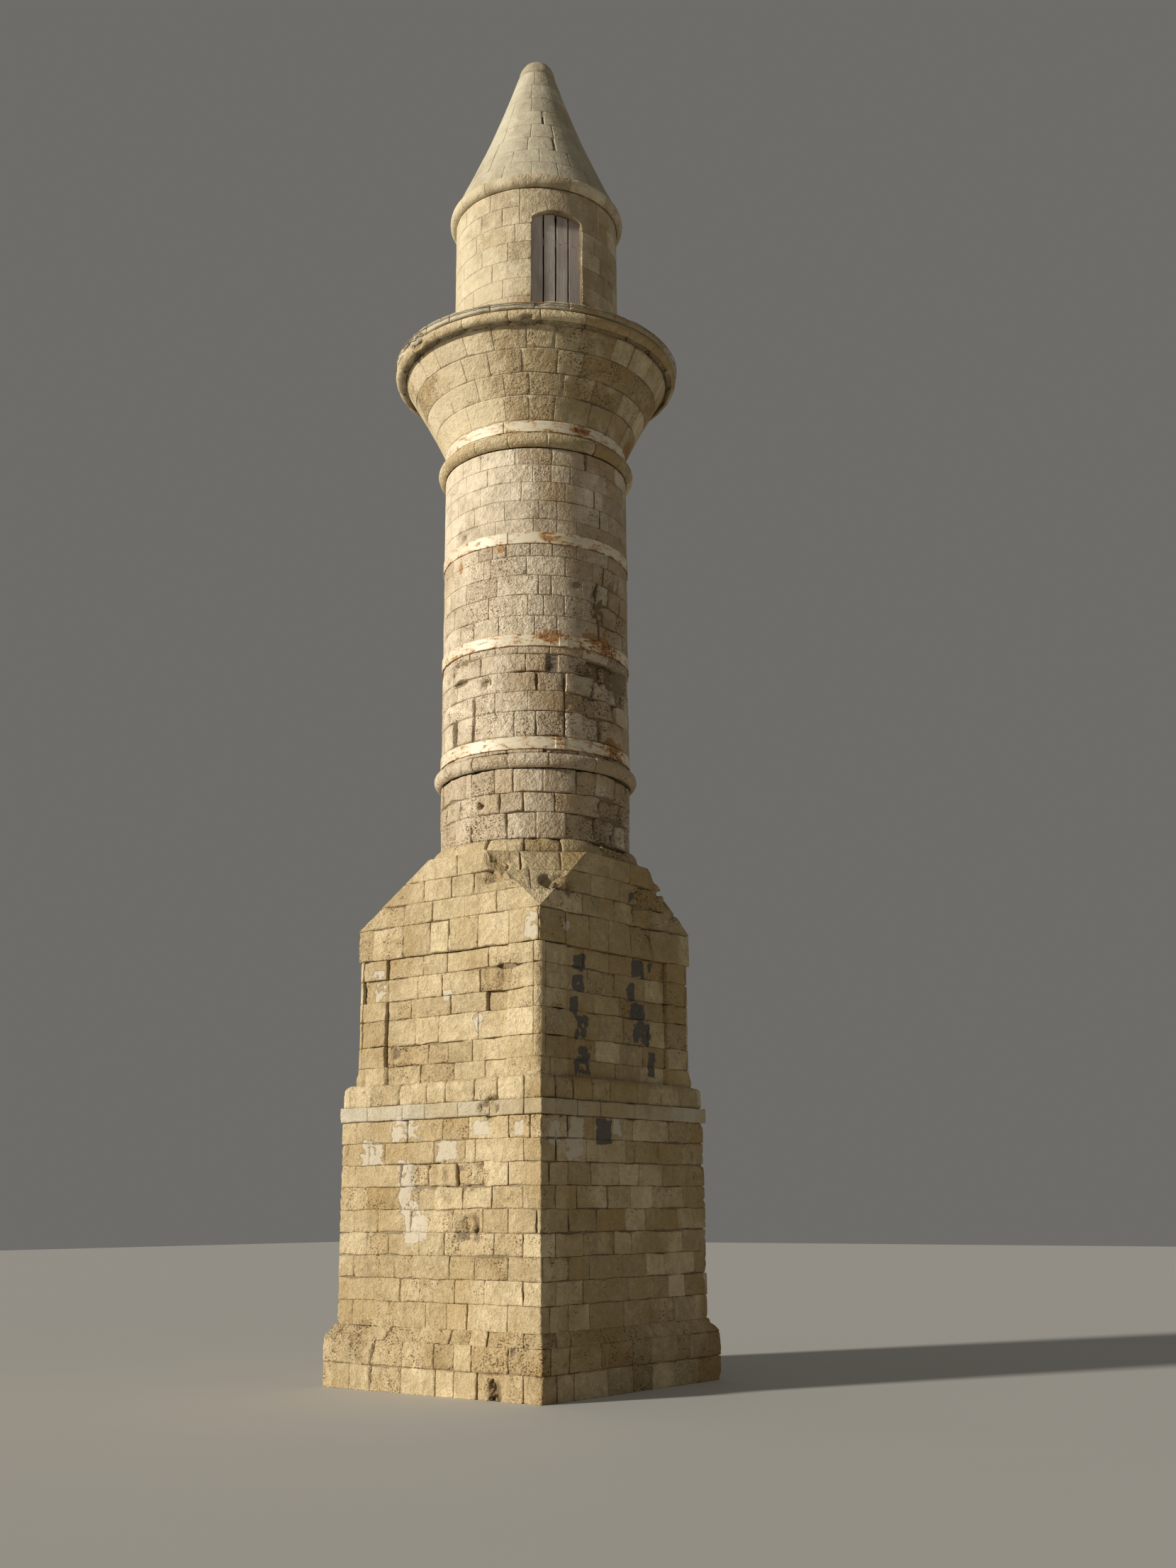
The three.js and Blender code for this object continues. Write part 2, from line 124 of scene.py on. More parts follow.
def noise(points: Array, size: float, seed: int, octaves: int = 3) -> Array:
    """Give smooth noise between about -1 and 1.

    Args:
        points: Places, one row each, in metres.
        size: Size of the largest lumps, in metres.
        seed: Picks one of many unlike fields.
        octaves: How many layers are summed, each half the size of the last.

    Returns:
        One value for each point.
    """
    total, reach = np.zeros(len(points)), 0.0
    for octave in range(octaves):
        scaled = points / size * 2**octave + 31.7 * octave
        cell = np.floor(scaled).astype(np.int64)
        part = ramp(scaled - cell, 0, 1)
        value = np.zeros(len(points))
        for corner in itertools.product((0, 1), repeat=3):
            x, y, z = np.where(corner, part, 1 - part).T
            value += x * y * z * hashed(cell + corner, seed + octave)
        total += (2 * value - 1) / 2**octave
        reach += 1 / 2**octave
    return total / reach * 1.6


def outward(bearing: Array) -> Array:
    """Give the level directions that point out of the tower at some bearings, one row each."""
    return np.stack([np.sin(bearing), -np.cos(bearing), np.zeros(len(bearing))], axis=1)


def uncut(points: Array) -> Array:
    """Give no extra depth at any point."""
    return np.zeros(len(points))


@dataclass(frozen=True)
class Circle:
    """A round plan of radius one. Its u is a bearing in radians from the front, growing to the right."""

    period: float = TURN
    scale: float = 1.0

    def at(self, u: Array) -> tuple[Array, Array]:
        """Give the x and y of the line."""
        return np.sin(u), -np.cos(u)

    def corners(self, start: float, end: float) -> list[float]:
        """Give no places: a circle is alike all round."""
        return []

    def ridge(self, u: Array) -> Array:
        """Give how far each place lies from a corner: a circle has none."""
        return np.full(len(u), FAR)


@dataclass(frozen=True)
class Square:
    """A square plan. Its u is in metres from the front's left corner, growing to the right."""

    half: float
    rounding: float = 0.014

    @property
    def period(self) -> float:
        """Length of the way round."""
        return 8 * self.half

    @property
    def scale(self) -> float:
        """How many metres one unit of u is at a half width of one metre."""
        return 1 / self.half

    def at(self, u: Array) -> tuple[Array, Array]:
        """Give the x and y of the line.

        Args:
            u: Distances along the way round.

        Returns:
            x and y, for a half side of one.
        """
        u = np.mod(u, self.period)
        side = np.floor(u / (2 * self.half))
        along = u - (2 * side + 1) * self.half
        edge = self.half - self.rounding
        angle = np.sign(along) * np.clip(np.abs(along) - edge, 0, self.rounding) / self.rounding * QUARTER / 2
        x = (np.clip(along, -edge, edge) + self.rounding * np.sin(angle)) / self.half
        y = (-edge - self.rounding * np.cos(angle)) / self.half
        cos, sin = np.cos(side * QUARTER), np.sin(side * QUARTER)
        return x * cos - y * sin, x * sin + y * cos

    def corners(self, start: float, end: float) -> list[float]:
        """Give a line at each corner between two places, and along its rounding.

        Args:
            start: Where to begin along the way round.
            end: Where to stop.

        Returns:
            The lines' places.
        """
        numbers = range(math.floor(start / (2 * self.half)), math.ceil(end / (2 * self.half)) + 1)
        places = [index * 2 * self.half + step * self.rounding
                  for index in numbers for step in (-1.0, -0.5, 0.0, 0.5, 1.0)]
        return [place for place in places if start < place < end]

    def ridge(self, u: Array) -> Array:
        """Give how far each place lies from a corner, in metres."""
        return np.abs(np.mod(u + self.half, 2 * self.half) - self.half)


class Profile:
    """How a surface rises, as points of half width and height. Its v is the length from the first."""

    def __init__(self, points: Sequence[Pair], smooth: bool = False) -> None:
        """Measure the profile.

        Args:
            points: Half width and height of each point, from the foot up.
            smooth: Whether the normals turn evenly from point to point.
        """
        self.points = np.array(points, float)
        steps = np.diff(self.points, axis=0)
        self.lengths = np.hypot(steps[:, 0], steps[:, 1])
        self.marks = np.concatenate([[0.0], np.cumsum(self.lengths)])
        flat = np.stack([steps[:, 1], -steps[:, 0]], axis=1) / self.lengths[:, None]
        ends = np.concatenate([flat[:1], (flat[:-1] + flat[1:]) / 2, flat[-1:]])
        self.starts = ends[:-1] if smooth else flat
        self.stops = ends[1:] if smooth else flat

    @property
    def length(self) -> float:
        """Length of the whole profile."""
        return float(self.marks[-1])

    def mark(self, height: float) -> float:
        """Give the length along the profile at which it reaches a height."""
        return float(np.interp(height, self.points[:, 1], self.marks))

    def at(self, v: Array) -> tuple[Array, Array, Array, Array]:
        """Give the half width and height of a point, and how far the normal leans out and up.

        Args:
            v: Lengths along the profile.

        Returns:
            Half width, height, outward part and upward part.
        """
        index = np.clip(np.searchsorted(self.marks, v, "right") - 1, 0, len(self.lengths) - 1)
        part = ((v - self.marks[index]) / self.lengths[index])[:, None]
        place = self.points[index] * (1 - part) + self.points[index + 1] * part
        part = np.clip(part, 0, 1)
        normal = self.starts[index] * (1 - part) + self.stops[index] * part
        normal /= np.linalg.norm(normal, axis=1)[:, None]
        return place[:, 0], place[:, 1], normal[:, 0], normal[:, 1]


def upright(half: float, low: float, high: float) -> Profile:
    """Give the profile of a plain upright face."""
    return Profile([(half, low), (half, high)])


def quarter_round(inner: float, outer: float, low: float, high: float, steps: int) -> list[Pair]:
    """Give a rounded shoulder.

    Args:
        inner: Half width at its top.
        outer: Half width at its foot.
        low: Height of its foot.
        high: Height of its top.
        steps: How many straight parts it has.

    Returns:
        Points of half width and height, from the foot up.
    """
    angles = [QUARTER * step / steps for step in range(steps + 1)]
    wide, tall = outer - inner, high - low
    return [(inner + wide * math.cos(angle), low + tall * math.sin(angle)) for angle in angles]


def roll(inner: float, outer: float, low: float, high: float, top: float | None = None) -> Profile:
    """Give the profile of a half-round moulding.

    Args:
        inner: Half width where it starts.
        outer: Half width at its widest.
        low: Height where it starts.
        high: Height where it ends.
        top: Half width where it ends, if another.

    Returns:
        The profile.
    """
    points = []
    for step in range(ROLL_STEPS + 1):
        angle = math.pi * step / ROLL_STEPS
        start = inner if step * 2 <= ROLL_STEPS or top is None else top
        height = (low + high) / 2 - (high - low) / 2 * math.cos(angle)
        points.append((start + (outer - start) * math.sin(angle), height))
    return Profile(points, smooth=True)


class Surface:
    """A face that stones are laid on: u runs along it, v up it and w out of it."""

    def place(self, u: Array, v: Array, w: Array) -> Array:
        """Give the points in space, one row of x, y and z for each."""
        raise NotImplementedError

    def metres(self, v: float) -> float:
        """Give how many metres one unit of u is at a height."""
        return 1.0

    def across(self, start: float, end: float) -> list[float]:
        """Give the places of u between two others that a mesh needs a line at."""
        return []

    def upward(self, start: float, end: float) -> list[float]:
        """Give the places of v between two others that a mesh needs a line at."""
        return []

    def ridge(self, u: Array) -> Array:
        """Give how far each place lies from an upright corner, in metres."""
        return np.full(len(u), FAR)


@dataclass(frozen=True)
class Facet(Surface):
    """A flat surface, by its origin and the directions of u and v."""

    origin: Vector
    right: Vector
    up: Vector

    def place(self, u: Array, v: Array, w: Array) -> Array:
        """Give the points in space."""
        axes = np.array((self.right, self.up, self.right.cross(self.up)))
        return np.array(self.origin) + np.stack([u, v, w], axis=1) @ axes


@dataclass(frozen=True)
class Wall(Surface):
    """A surface that follows a plan round an upright axis and a profile up it."""

    plan: Circle | Square
    profile: Profile
    centre: Pair = (0.0, 0.0)

    @property
    def period(self) -> float:
        """Length of u all the way round."""
        return self.plan.period

    @property
    def length(self) -> float:
        """Length of v from foot to top."""
        return self.profile.length

    def place(self, u: Array, v: Array, w: Array) -> Array:
        """Give the points in space.

        Args:
            u: Places along the plan.
            v: Lengths up the profile.
            w: Distances out of the face.

        Returns:
            One row of x, y and z for each.
        """
        x, y = self.plan.at(u)
        half, height, out, up = self.profile.at(v)
        half = half + out * w
        return np.stack([self.centre[0] + x * half, self.centre[1] + y * half, height + up * w], axis=1)

    def within(self, u: Array, v: Array, well: float) -> Array:
        """Give the x and y of the hollow inside.

        Args:
            u: Places along the plan.
            v: Lengths up the profile.
            well: Its half width, where the wall is thick enough for it.

        Returns:
            One row for each place.
        """
        x, y = self.plan.at(u)
        well = np.minimum(well, self.profile.at(v)[0] - THINNEST_WALL)
        return np.stack([self.centre[0] + x * well, self.centre[1] + y * well], axis=1)

    def metres(self, v: float) -> float:
        """Give how many metres one unit of u is at a height."""
        return float(self.profile.at(np.array([v]))[0][0]) * self.plan.scale

    def across(self, start: float, end: float) -> list[float]:
        """Give the plan's corners between two places."""
        return self.plan.corners(start, end)

    def upward(self, start: float, end: float) -> list[float]:
        """Give the profile's points between two places."""
        return [float(mark) for mark in self.profile.marks if start + HAIR < mark < end - HAIR]

    def ridge(self, u: Array) -> Array:
        """Give how far each place lies from an upright corner, in metres."""
        return self.plan.ridge(u)


@dataclass(frozen=True)
class Broach(Surface):
    """The stage where a square turns into an octagon. Its u counts the octagon's corners."""

    half: float
    low: float
    length: float
    centre: Pair
    ends: tuple[float, ...]
    period: float = 8.0

    def spread(self, v: Array, side: Array | int) -> Array:
        """Give how far a side's upright face reaches to its right at a height."""
        return self.half + (np.array(self.ends)[side] - self.half) * v / self.length

    def place(self, u: Array, v: Array, w: Array) -> Array:
        """Give the points in space.

        Args:
            u: Places round the stage. From 0 to 1 is the front, from 1 to 2 the broach right of it.
            v: Heights over its foot.
            w: Distances out of the face.

        Returns:
            One row of x, y and z for each.
        """
        u = np.mod(u, self.period)
        side = np.floor(u / 2).astype(int)
        part = u - 2 * side
        right, left = self.spread(v, side), self.spread(v, side - 1)
        slant = right + (part - 1) * (self.half - right)
        x = np.where(part < 1, part * (left + right) - left, slant)
        y = np.where(part < 1, -self.half, slant - right - self.half)
        cos, sin = np.cos(side * QUARTER), np.sin(side * QUARTER)
        grown = 1 + w / self.half
        x, y = (x * cos - y * sin) * grown, (x * sin + y * cos) * grown
        return np.stack([self.centre[0] + x, self.centre[1] + y, self.low + v], axis=1)

    def within(self, u: Array, v: Array, well: float) -> Array:
        """Give the x and y of the round hollow inside, at a radius."""
        outer = self.place(u, np.full(len(u), self.length), np.zeros(len(u)))[:, :2]
        return well * outer / np.linalg.norm(outer, axis=1)[:, None]

    def metres(self, v: float) -> float:
        """Give how many metres one unit of u is, near enough."""
        return self.half

    def across(self, start: float, end: float) -> list[float]:
        """Give the octagon's corners between two places."""
        return [float(corner) for corner in range(math.ceil(start), math.floor(end) + 1)]


@dataclass(frozen=True)
class Span:
    """Reach of some solids of the frame: their levels, half their width and the middle of their plan."""

    low: float
    high: float
    half: float
    middle: Pair

    @classmethod
    def of(cls, *nodes: str) -> "Span":
        """Measure some nodes together.

        Args:
            nodes: Names of solids in the frame.

        Returns:
            Their reach.
        """
        boxes = np.array([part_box(node) for node in nodes])
        low, high = boxes[:, 0].min(0), boxes[:, 1].max(0)
        x, y, _ = ((low + high) / 2).tolist()
        return cls(float(low[2]), float(high[2]), float(high[0] - low[0]) / 2, (x, y))

    @property
    def rise(self) -> float:
        """Height from the lowest level to the highest."""
        return self.high - self.low

    @property
    def drum(self) -> Wall:
        """A plain round wall as high and wide as the solids."""
        return Wall(Circle(), upright(self.half, self.low, self.high))


def four(name: str) -> list[str]:
    """Give the names of a piece's solids on the four sides."""
    return [f"{name}_{side}" for side in SIDES]


@dataclass(frozen=True)
class PhotoView:
    """The photograph's camera, solved on the tower."""

    position: tuple[float, float, float] = (11.675, -13.825, 1.74)
    away: Pair = (-0.6452, 0.7640)
    aside: float = math.radians(1.874)
    pitch: float = math.radians(14.358)
    roll: float = math.radians(-0.352)
    width: int = 1659
    height: int = 2212
    focal: float = 2340.0
    sensor: float = 36.0
    reach: float = 500.0

    def axes(self) -> tuple[Vector, Vector, Vector]:
        """Work out how the camera is turned.

        Returns:
            Its right, up and forward directions.
        """
        away = Vector((*self.away, 0))
        side = Vector((-self.away[1], self.away[0], 0)) * -1
        level = math.cos(self.aside) * away + math.sin(self.aside) * side
        forward = math.cos(self.pitch) * level + Vector((0, 0, math.sin(self.pitch)))
        right = math.cos(self.aside) * side - math.sin(self.aside) * away
        up = right.cross(forward)
        tilted = math.cos(self.roll) * right + math.sin(self.roll) * up
        return tilted, math.cos(self.roll) * up - math.sin(self.roll) * right, forward

    def ray(self, pixel: Pair) -> Vector:
        """Give the direction in which a pixel of the photograph is seen.

        Args:
            pixel: Place in the photograph.

        Returns:
            The direction, of length one.
        """
        right, up, forward = self.axes()
        across = (pixel[0] - self.width / 2) / self.focal
        rise = (self.height / 2 - pixel[1]) / self.focal
        return (forward + across * right + rise * up).normalized()

    def camera(self) -> None:
        """Make the scene's camera."""
        right, up, forward = self.axes()
        data = bpy.data.cameras.new("photo_view")
        data.sensor_width = self.sensor
        data.lens = self.focal * self.sensor / self.height
        data.clip_end = self.reach
        camera = bpy.data.objects.new("photo_view", data)
        turn = Matrix((right, up, -forward)).transposed().to_4x4()
        camera.matrix_world = Matrix.Translation(self.position) @ turn
        bpy.context.collection.objects.link(camera)
        bpy.context.scene.camera = camera


class Outline:
    """The tower's plain outer form, for finding what a pixel of the photograph shows."""

    nearest = 12.0
    farthest = 26.0
    samples = 2801
    foot_diagonal = 4.0

    def __init__(self) -> None:
        """Measure the half widths and heights of the square base and of the round shaft."""
        plinth, base, cone = Span.of(*four("plinth")), Span.of("broach_stage"), Span.of("cone")
        foot = [(plinth.half, 0.0), (plinth.half, 2 * SquareBase.plinth_beds[1])]
        walls = (four("lower_wall"), ["string_course"], ["splay_course"], four("upper_wall"),
                 ["broach_stage"])
        shaft = ("shaft_foot", "lower_drum", "lower_roll", "shaft_drum_1", "shaft_drum_2", "shaft_drum_3",
                 "upper_roll")
        head = ("balcony_roll", "balcony_slab", "lantern_wall", "cone_cornice")
        flare = [(Balcony.shaft, Balcony.flare_foot), (Balcony.flare_radius, Balcony.flare_top)]
        roof = [(cone.half, cone.low + 1e-3), (Roof.shoulder, Roof.shoulder_height), (0.0, cone.high)]
        self.middle = np.array(base.middle)
        self.square = np.array([*foot, *self.ends(walls)])
        below, above = (self.ends((node,) for node in nodes) for nodes in (shaft, head))
        self.round = np.array([*below, *flare, *above, *roof])
        cut = base.half * math.sqrt(2)
        self.diagonal = np.array([(self.foot_diagonal, 0.0), (2 * base.half, base.low), (cut, base.high)])

    def ends(self, pieces: Iterable[Sequence[str]]) -> list[Pair]:
        """Give the half width and height of some pieces at their foot and top."""
        spans = [Span.of(*nodes) for nodes in pieces]
        return [(span.half, height) for span in spans for height in (span.low + HAIR, span.high - HAIR)]

    def inside(self, points: Array) -> Array:
        """Say which points lie within the tower.

        Args:
            points: Places, one row each.

        Returns:
            True for each point that is inside.
        """
        height, top = points[:, 2], self.square[-1, 1]
        half, radius, cut = (np.interp(height, line[:, 1], line[:, 0])
                             for line in (self.square, self.round, self.diagonal))
        offset = np.abs(points[:, :2] - self.middle)
        in_square = (offset.max(axis=1) < half) & (offset.sum(axis=1) < cut) & (height < top)
        return in_square | ((np.hypot(points[:, 0], points[:, 1]) < radius) & (height >= top))

    def hit(self, view: PhotoView, pixel: Pair) -> Array:
        """Find the point of the tower that a pixel shows.

        Args:
            view: The photograph's camera.
            pixel: Place in the photograph.

        Returns:
            The point where the ray meets the tower, or passes nearest to its axis.
        """
        steps = np.linspace(self.nearest, self.farthest, self.samples)
        points = np.array(view.position) + np.outer(steps, np.array(view.ray(pixel)))
        found = np.flatnonzero(self.inside(points))
        closest = int(np.argmin(np.hypot(points[:, 0], points[:, 1])))
        return points[found[0]] if len(found) else points[closest]


class Stain(Enum):
    """What has marked the stone since it was laid, by its channel of the weather attribute."""

    PLASTER = 0
    RESIDUE = 1
    RUST = 2
    WEAR = 3


@dataclass(frozen=True)
class Hollow:
    """A place where stone is lost, seen at a pixel of the photograph."""

    name: str
    pixel: Pair
    reach: float
    depth: float
    tall: float = 1.0
    whole_stone: bool = False


@dataclass(frozen=True)
class Patch:
    """A stain or a coat of plaster, seen at a pixel of the photograph."""

    stain: Stain
    name: str
    pixel: Pair
    reach: float
    tall: float = 1.0
    strength: float = 1.0
    square: bool = False


@dataclass(frozen=True)
class Opening:
    """A hole through a wall, by its reach along u and v."""

    left: float
    right: float
    low: float
    high: float
    flare: float = 0.0


@dataclass(frozen=True)
class Crack:
    """A line of joints that has opened through the wall: its place along u, its reach and its width."""

    place: float
    low: float
    high: float
    gap: float
    slot: float = 0.009

    def through(self, metres: float) -> Opening:
        """Give the slot that it leaves in the mortar core."""
        return Opening(self.place - self.slot / metres, self.place + self.slot / metres, self.low, self.high)


class Weather:
    """Everything that has happened to the tower, and where painted shade and painted light fall on it, as
    fields that any point can read.
    """

    # Bearing of the shaded side, towards which the stones are painted darker and browner as painted shade.
    damp = math.radians(105)
    # Bearing of the sunlit side, towards which the pale wash is painted thicker as painted light.
    bleached = math.radians(-30)

    def __init__(self, view: PhotoView) -> None:
        """Find where on the tower each mark lies.

        Args:
            view: The photograph's camera, which sees the marks at their pixels.
        """
        self.view, self.outline = view, Outline()
        hollows = [Hollow(*row) for row in HOLLOWS]
        patches = [Patch(stain, *row) for stain, rows in PATCHES.items() for row in rows]
        self.hollows = [(mark, self.outline.hit(view, mark.pixel)) for mark in hollows]
        self.patches = [(mark, self.outline.hit(view, mark.pixel)) for mark in patches]

    def bearing(self, pixel: Pair) -> float:
        """Give the bearing of the point that a pixel of the photograph shows."""
        point = self.outline.hit(self.view, pixel)
        return math.atan2(point[0], -point[1])

    def crack(self, profile: Profile, pixel: Pair, reach: float, gap: float) -> Crack:
        """Give the crack that a pixel of the photograph shows in a round wall.

        Args:
            profile: How the wall rises.
            pixel: Its middle.
            reach: How far it runs up and down from there.
            gap: Its width, as a share of a common joint.

        Returns:
            The crack.
        """
        middle = profile.mark(self.outline.hit(self.view, pixel)[2])
        return Crack(self.bearing(pixel), middle - reach, middle + reach, gap)

    def nearness(
        self, points: Array, centre: Array, reach: float, tall: float = 1.0, square: bool = False,
    ) -> Array:
        """Give 1 in the middle of a mark and 0 at its edge and beyond.

        Args:
            points: Places, one row each.
            centre: The mark's middle.
            reach: How far it reaches along the wall.
            tall: How far it reaches up and down, as a share of that.
            square: Whether it fills a square, with a steeper edge.

        Returns:
            One value for each point.
        """
        offset = points - centre
        flat, rise = np.hypot(offset[:, 0], offset[:, 1]) / reach, np.abs(offset[:, 2]) / (reach * tall)
        return np.clip(3 * (1 - np.maximum(flat, rise)) if square else 1 - np.hypot(flat, rise), 0, 1)

    def depth(self, points: Array) -> Array:
        """Give how deep the hollows go.

        Args:
            points: Places, one row each.

        Returns:
            The depth at each, in metres.
        """
        total = np.zeros(len(points))
        for mark, centre in self.hollows:
            if not mark.whole_stone:
                near = self.nearness(points, centre, 1.25 * mark.reach, mark.tall)
                near = near * (1 + 0.7 * noise(points, 0.09, 991, 2))
                total = np.maximum(total, mark.depth * ramp(near, 0.18, 0.40))
        return total

    def core_depth(self, points: Array) -> Array:
        """Give how much deeper the mortar core has to lie.

        Args:
            points: Places, one row each.

        Returns:
            The extra depth at each, in metres.
        """
        total = self.depth(points) + WEAR_DEPTH * self.worn(self.stains(points))
        for mark, centre in self.hollows:
            if mark.whole_stone:
                near = self.nearness(points, centre, 3 * mark.reach)
                total = np.maximum(total, 1.3 * mark.depth * ramp(near, 0.0, 0.2))
        return total

    def sink(self, low: Array, high: Array) -> float:
        """Give how far a whole stone has sunk or broken back, from its box in space."""
        return max((mark.depth for mark, centre in self.hollows if mark.whole_stone
                    and np.all(centre > low - 0.03) and np.all(centre < high + 0.03)), default=0.0)

    def facing(self, points: Array, bearing: float) -> Array:
        """Give how far each point of the tower faces a bearing, from -1 to 1."""
        towards = math.sin(bearing) * points[:, 0] - math.cos(bearing) * points[:, 1]
        return towards / np.maximum(np.hypot(points[:, 0], points[:, 1]), 0.1)

    def shade(self, points: Array) -> Array:
        """Give how far each point lies on the shaded side, which is painted darker and browner as painted
        shade.
        """
        return ramp(self.facing(points, self.damp), 0.25, 0.80)

    def sunny(self, points: Array) -> Array:
        """Give how far each point lies on the sunlit side, where the wash is painted paler as painted light.
        """
        return ramp(self.facing(points, self.bleached), 0.30, 0.95)

    def stains(self, points: Array) -> Array:
        """Give the strengths of plaster, residue, rust and wear.

        Args:
            points: Places, one row each.

        Returns:
            One row of four strengths for each.
        """
        found = np.zeros((len(points), len(Stain)))
        for mark, centre in self.patches:
            column = found[:, mark.stain.value]
            near = self.nearness(points, centre, mark.reach, mark.tall, mark.square)
            np.maximum(column, mark.strength * near, out=column)
        return found

    def worn(self, stains: Array) -> Array:
        """Give how far the stone has worn away, from the strengths of its stains."""
        return ramp(stains[:, Stain.WEAR.value], 0.0, FULL_WEAR)


class Body:
    """Gathers closed bodies and turns them into one piece."""

    def __init__(self) -> None:
        """Start with nothing."""
        self.count = 0
        self.points: list[Array] = []
        self.faces: list[Array] = []
        self.looks: list[Array] = []
        self.fields: dict[str, list[Array]] = {TINT: [], WEATHER: []}

    def add(
        self, points: Array, faces: Sequence[Array], look: int = 0, tint: Array | None = None,
        stain: Array | None = None,
    ) -> None:
        """Add one or more closed bodies.

        Args:
            points: Vertices, one row each.
            faces: Arrays of triangles or quads that index the points.
            look: Which of the piece's finishes they take.
            tint: Brightness, warmth, erosion and wash of each vertex, which carry painted shade and painted
                light.
            stain: Plaster, residue, rust and wear of each vertex.
        """
        total = len(points)
        points[:, 2] = np.maximum(points[:, 2], 0.0)
        self.points.append(points)
        for group in faces:
            if len(group):
                self.faces.append(np.asarray(group, np.int64) + self.count)
                self.looks.append(np.full(len(group), look, np.int32))
        self.fields[TINT].append(np.tile((0.5, 0.5, 0.5, 0.0), (total, 1)) if tint is None else tint)
        self.fields[WEATHER].append(np.zeros((total, len(Stain))) if stain is None else stain)
        self.count += total

    def build(
        self, name: str, nodes: Sequence[str], slot: str = "ashlar", looks: Sequence["Look"] = (),
    ) -> None:
        """Make the piece, which rides on the tower and stands for solids of the frame.

        Args:
            name: Its name.
            nodes: The solids that it stands for.
            slot: Not used.
            looks: Its finishes, in the order that add() numbers them, if not ashlar and mortar.
        """
        mesh = bpy.data.meshes.new(name)
        points = np.concatenate(self.points).astype(np.float32)
        loops = np.concatenate([group.ravel() for group in self.faces]).astype(np.int32)
        sizes = np.concatenate([np.full(len(group), group.shape[1], np.int32) for group in self.faces])
        mesh.vertices.add(len(points))
        mesh.vertices.foreach_set("co", points.ravel())
        mesh.loops.add(len(loops))
        mesh.loops.foreach_set("vertex_index", loops)
        mesh.polygons.add(len(sizes))
        mesh.polygons.foreach_set("loop_start", (np.cumsum(sizes) - sizes).astype(np.int32))
        mesh.polygons.foreach_set("loop_total", sizes)
        mesh.polygons.foreach_set("material_index", np.concatenate(self.looks))
        mesh.polygons.foreach_set("use_smooth", np.ones(len(sizes), bool))
        for label, parts in self.fields.items():
            values = np.clip(np.concatenate(parts), 0, 1).astype(np.float32)
            mesh.color_attributes.new(label, "FLOAT_COLOR", "POINT").data.foreach_set("color", values.ravel())
        mesh.update()
        mesh.validate()
        for look in looks or (Look.ASHLAR, Look.MORTAR):
            mesh.materials.append(look.material())
        piece = bpy.data.objects.new(name, mesh)
        bpy.context.collection.objects.link(piece)
        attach(piece, BODY)
        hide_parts(*nodes)
        LOG.info("%s: %d faces", name, len(mesh.polygons))


@dataclass(frozen=True)
class Stone:
    """One stone's outline on its surface, and how its edges meet the neighbours.

    Its left and right edges are given at foot and head. The gaps are the joints at its left, right, foot
    and head, as shares of a common joint.
    """

    low: float
    high: float
    left: Pair
    right: Pair
    gaps: Sequence[float] = (1.0, 1.0, 1.0, 1.0)
    flare: Sequence[float] = (0.0, 0.0)
    sink: float = 0.0
    bed: Callable[[Array], Array] | None = None
    head: Callable[[Array], Array] | None = None
    marks: tuple[float, ...] = ()


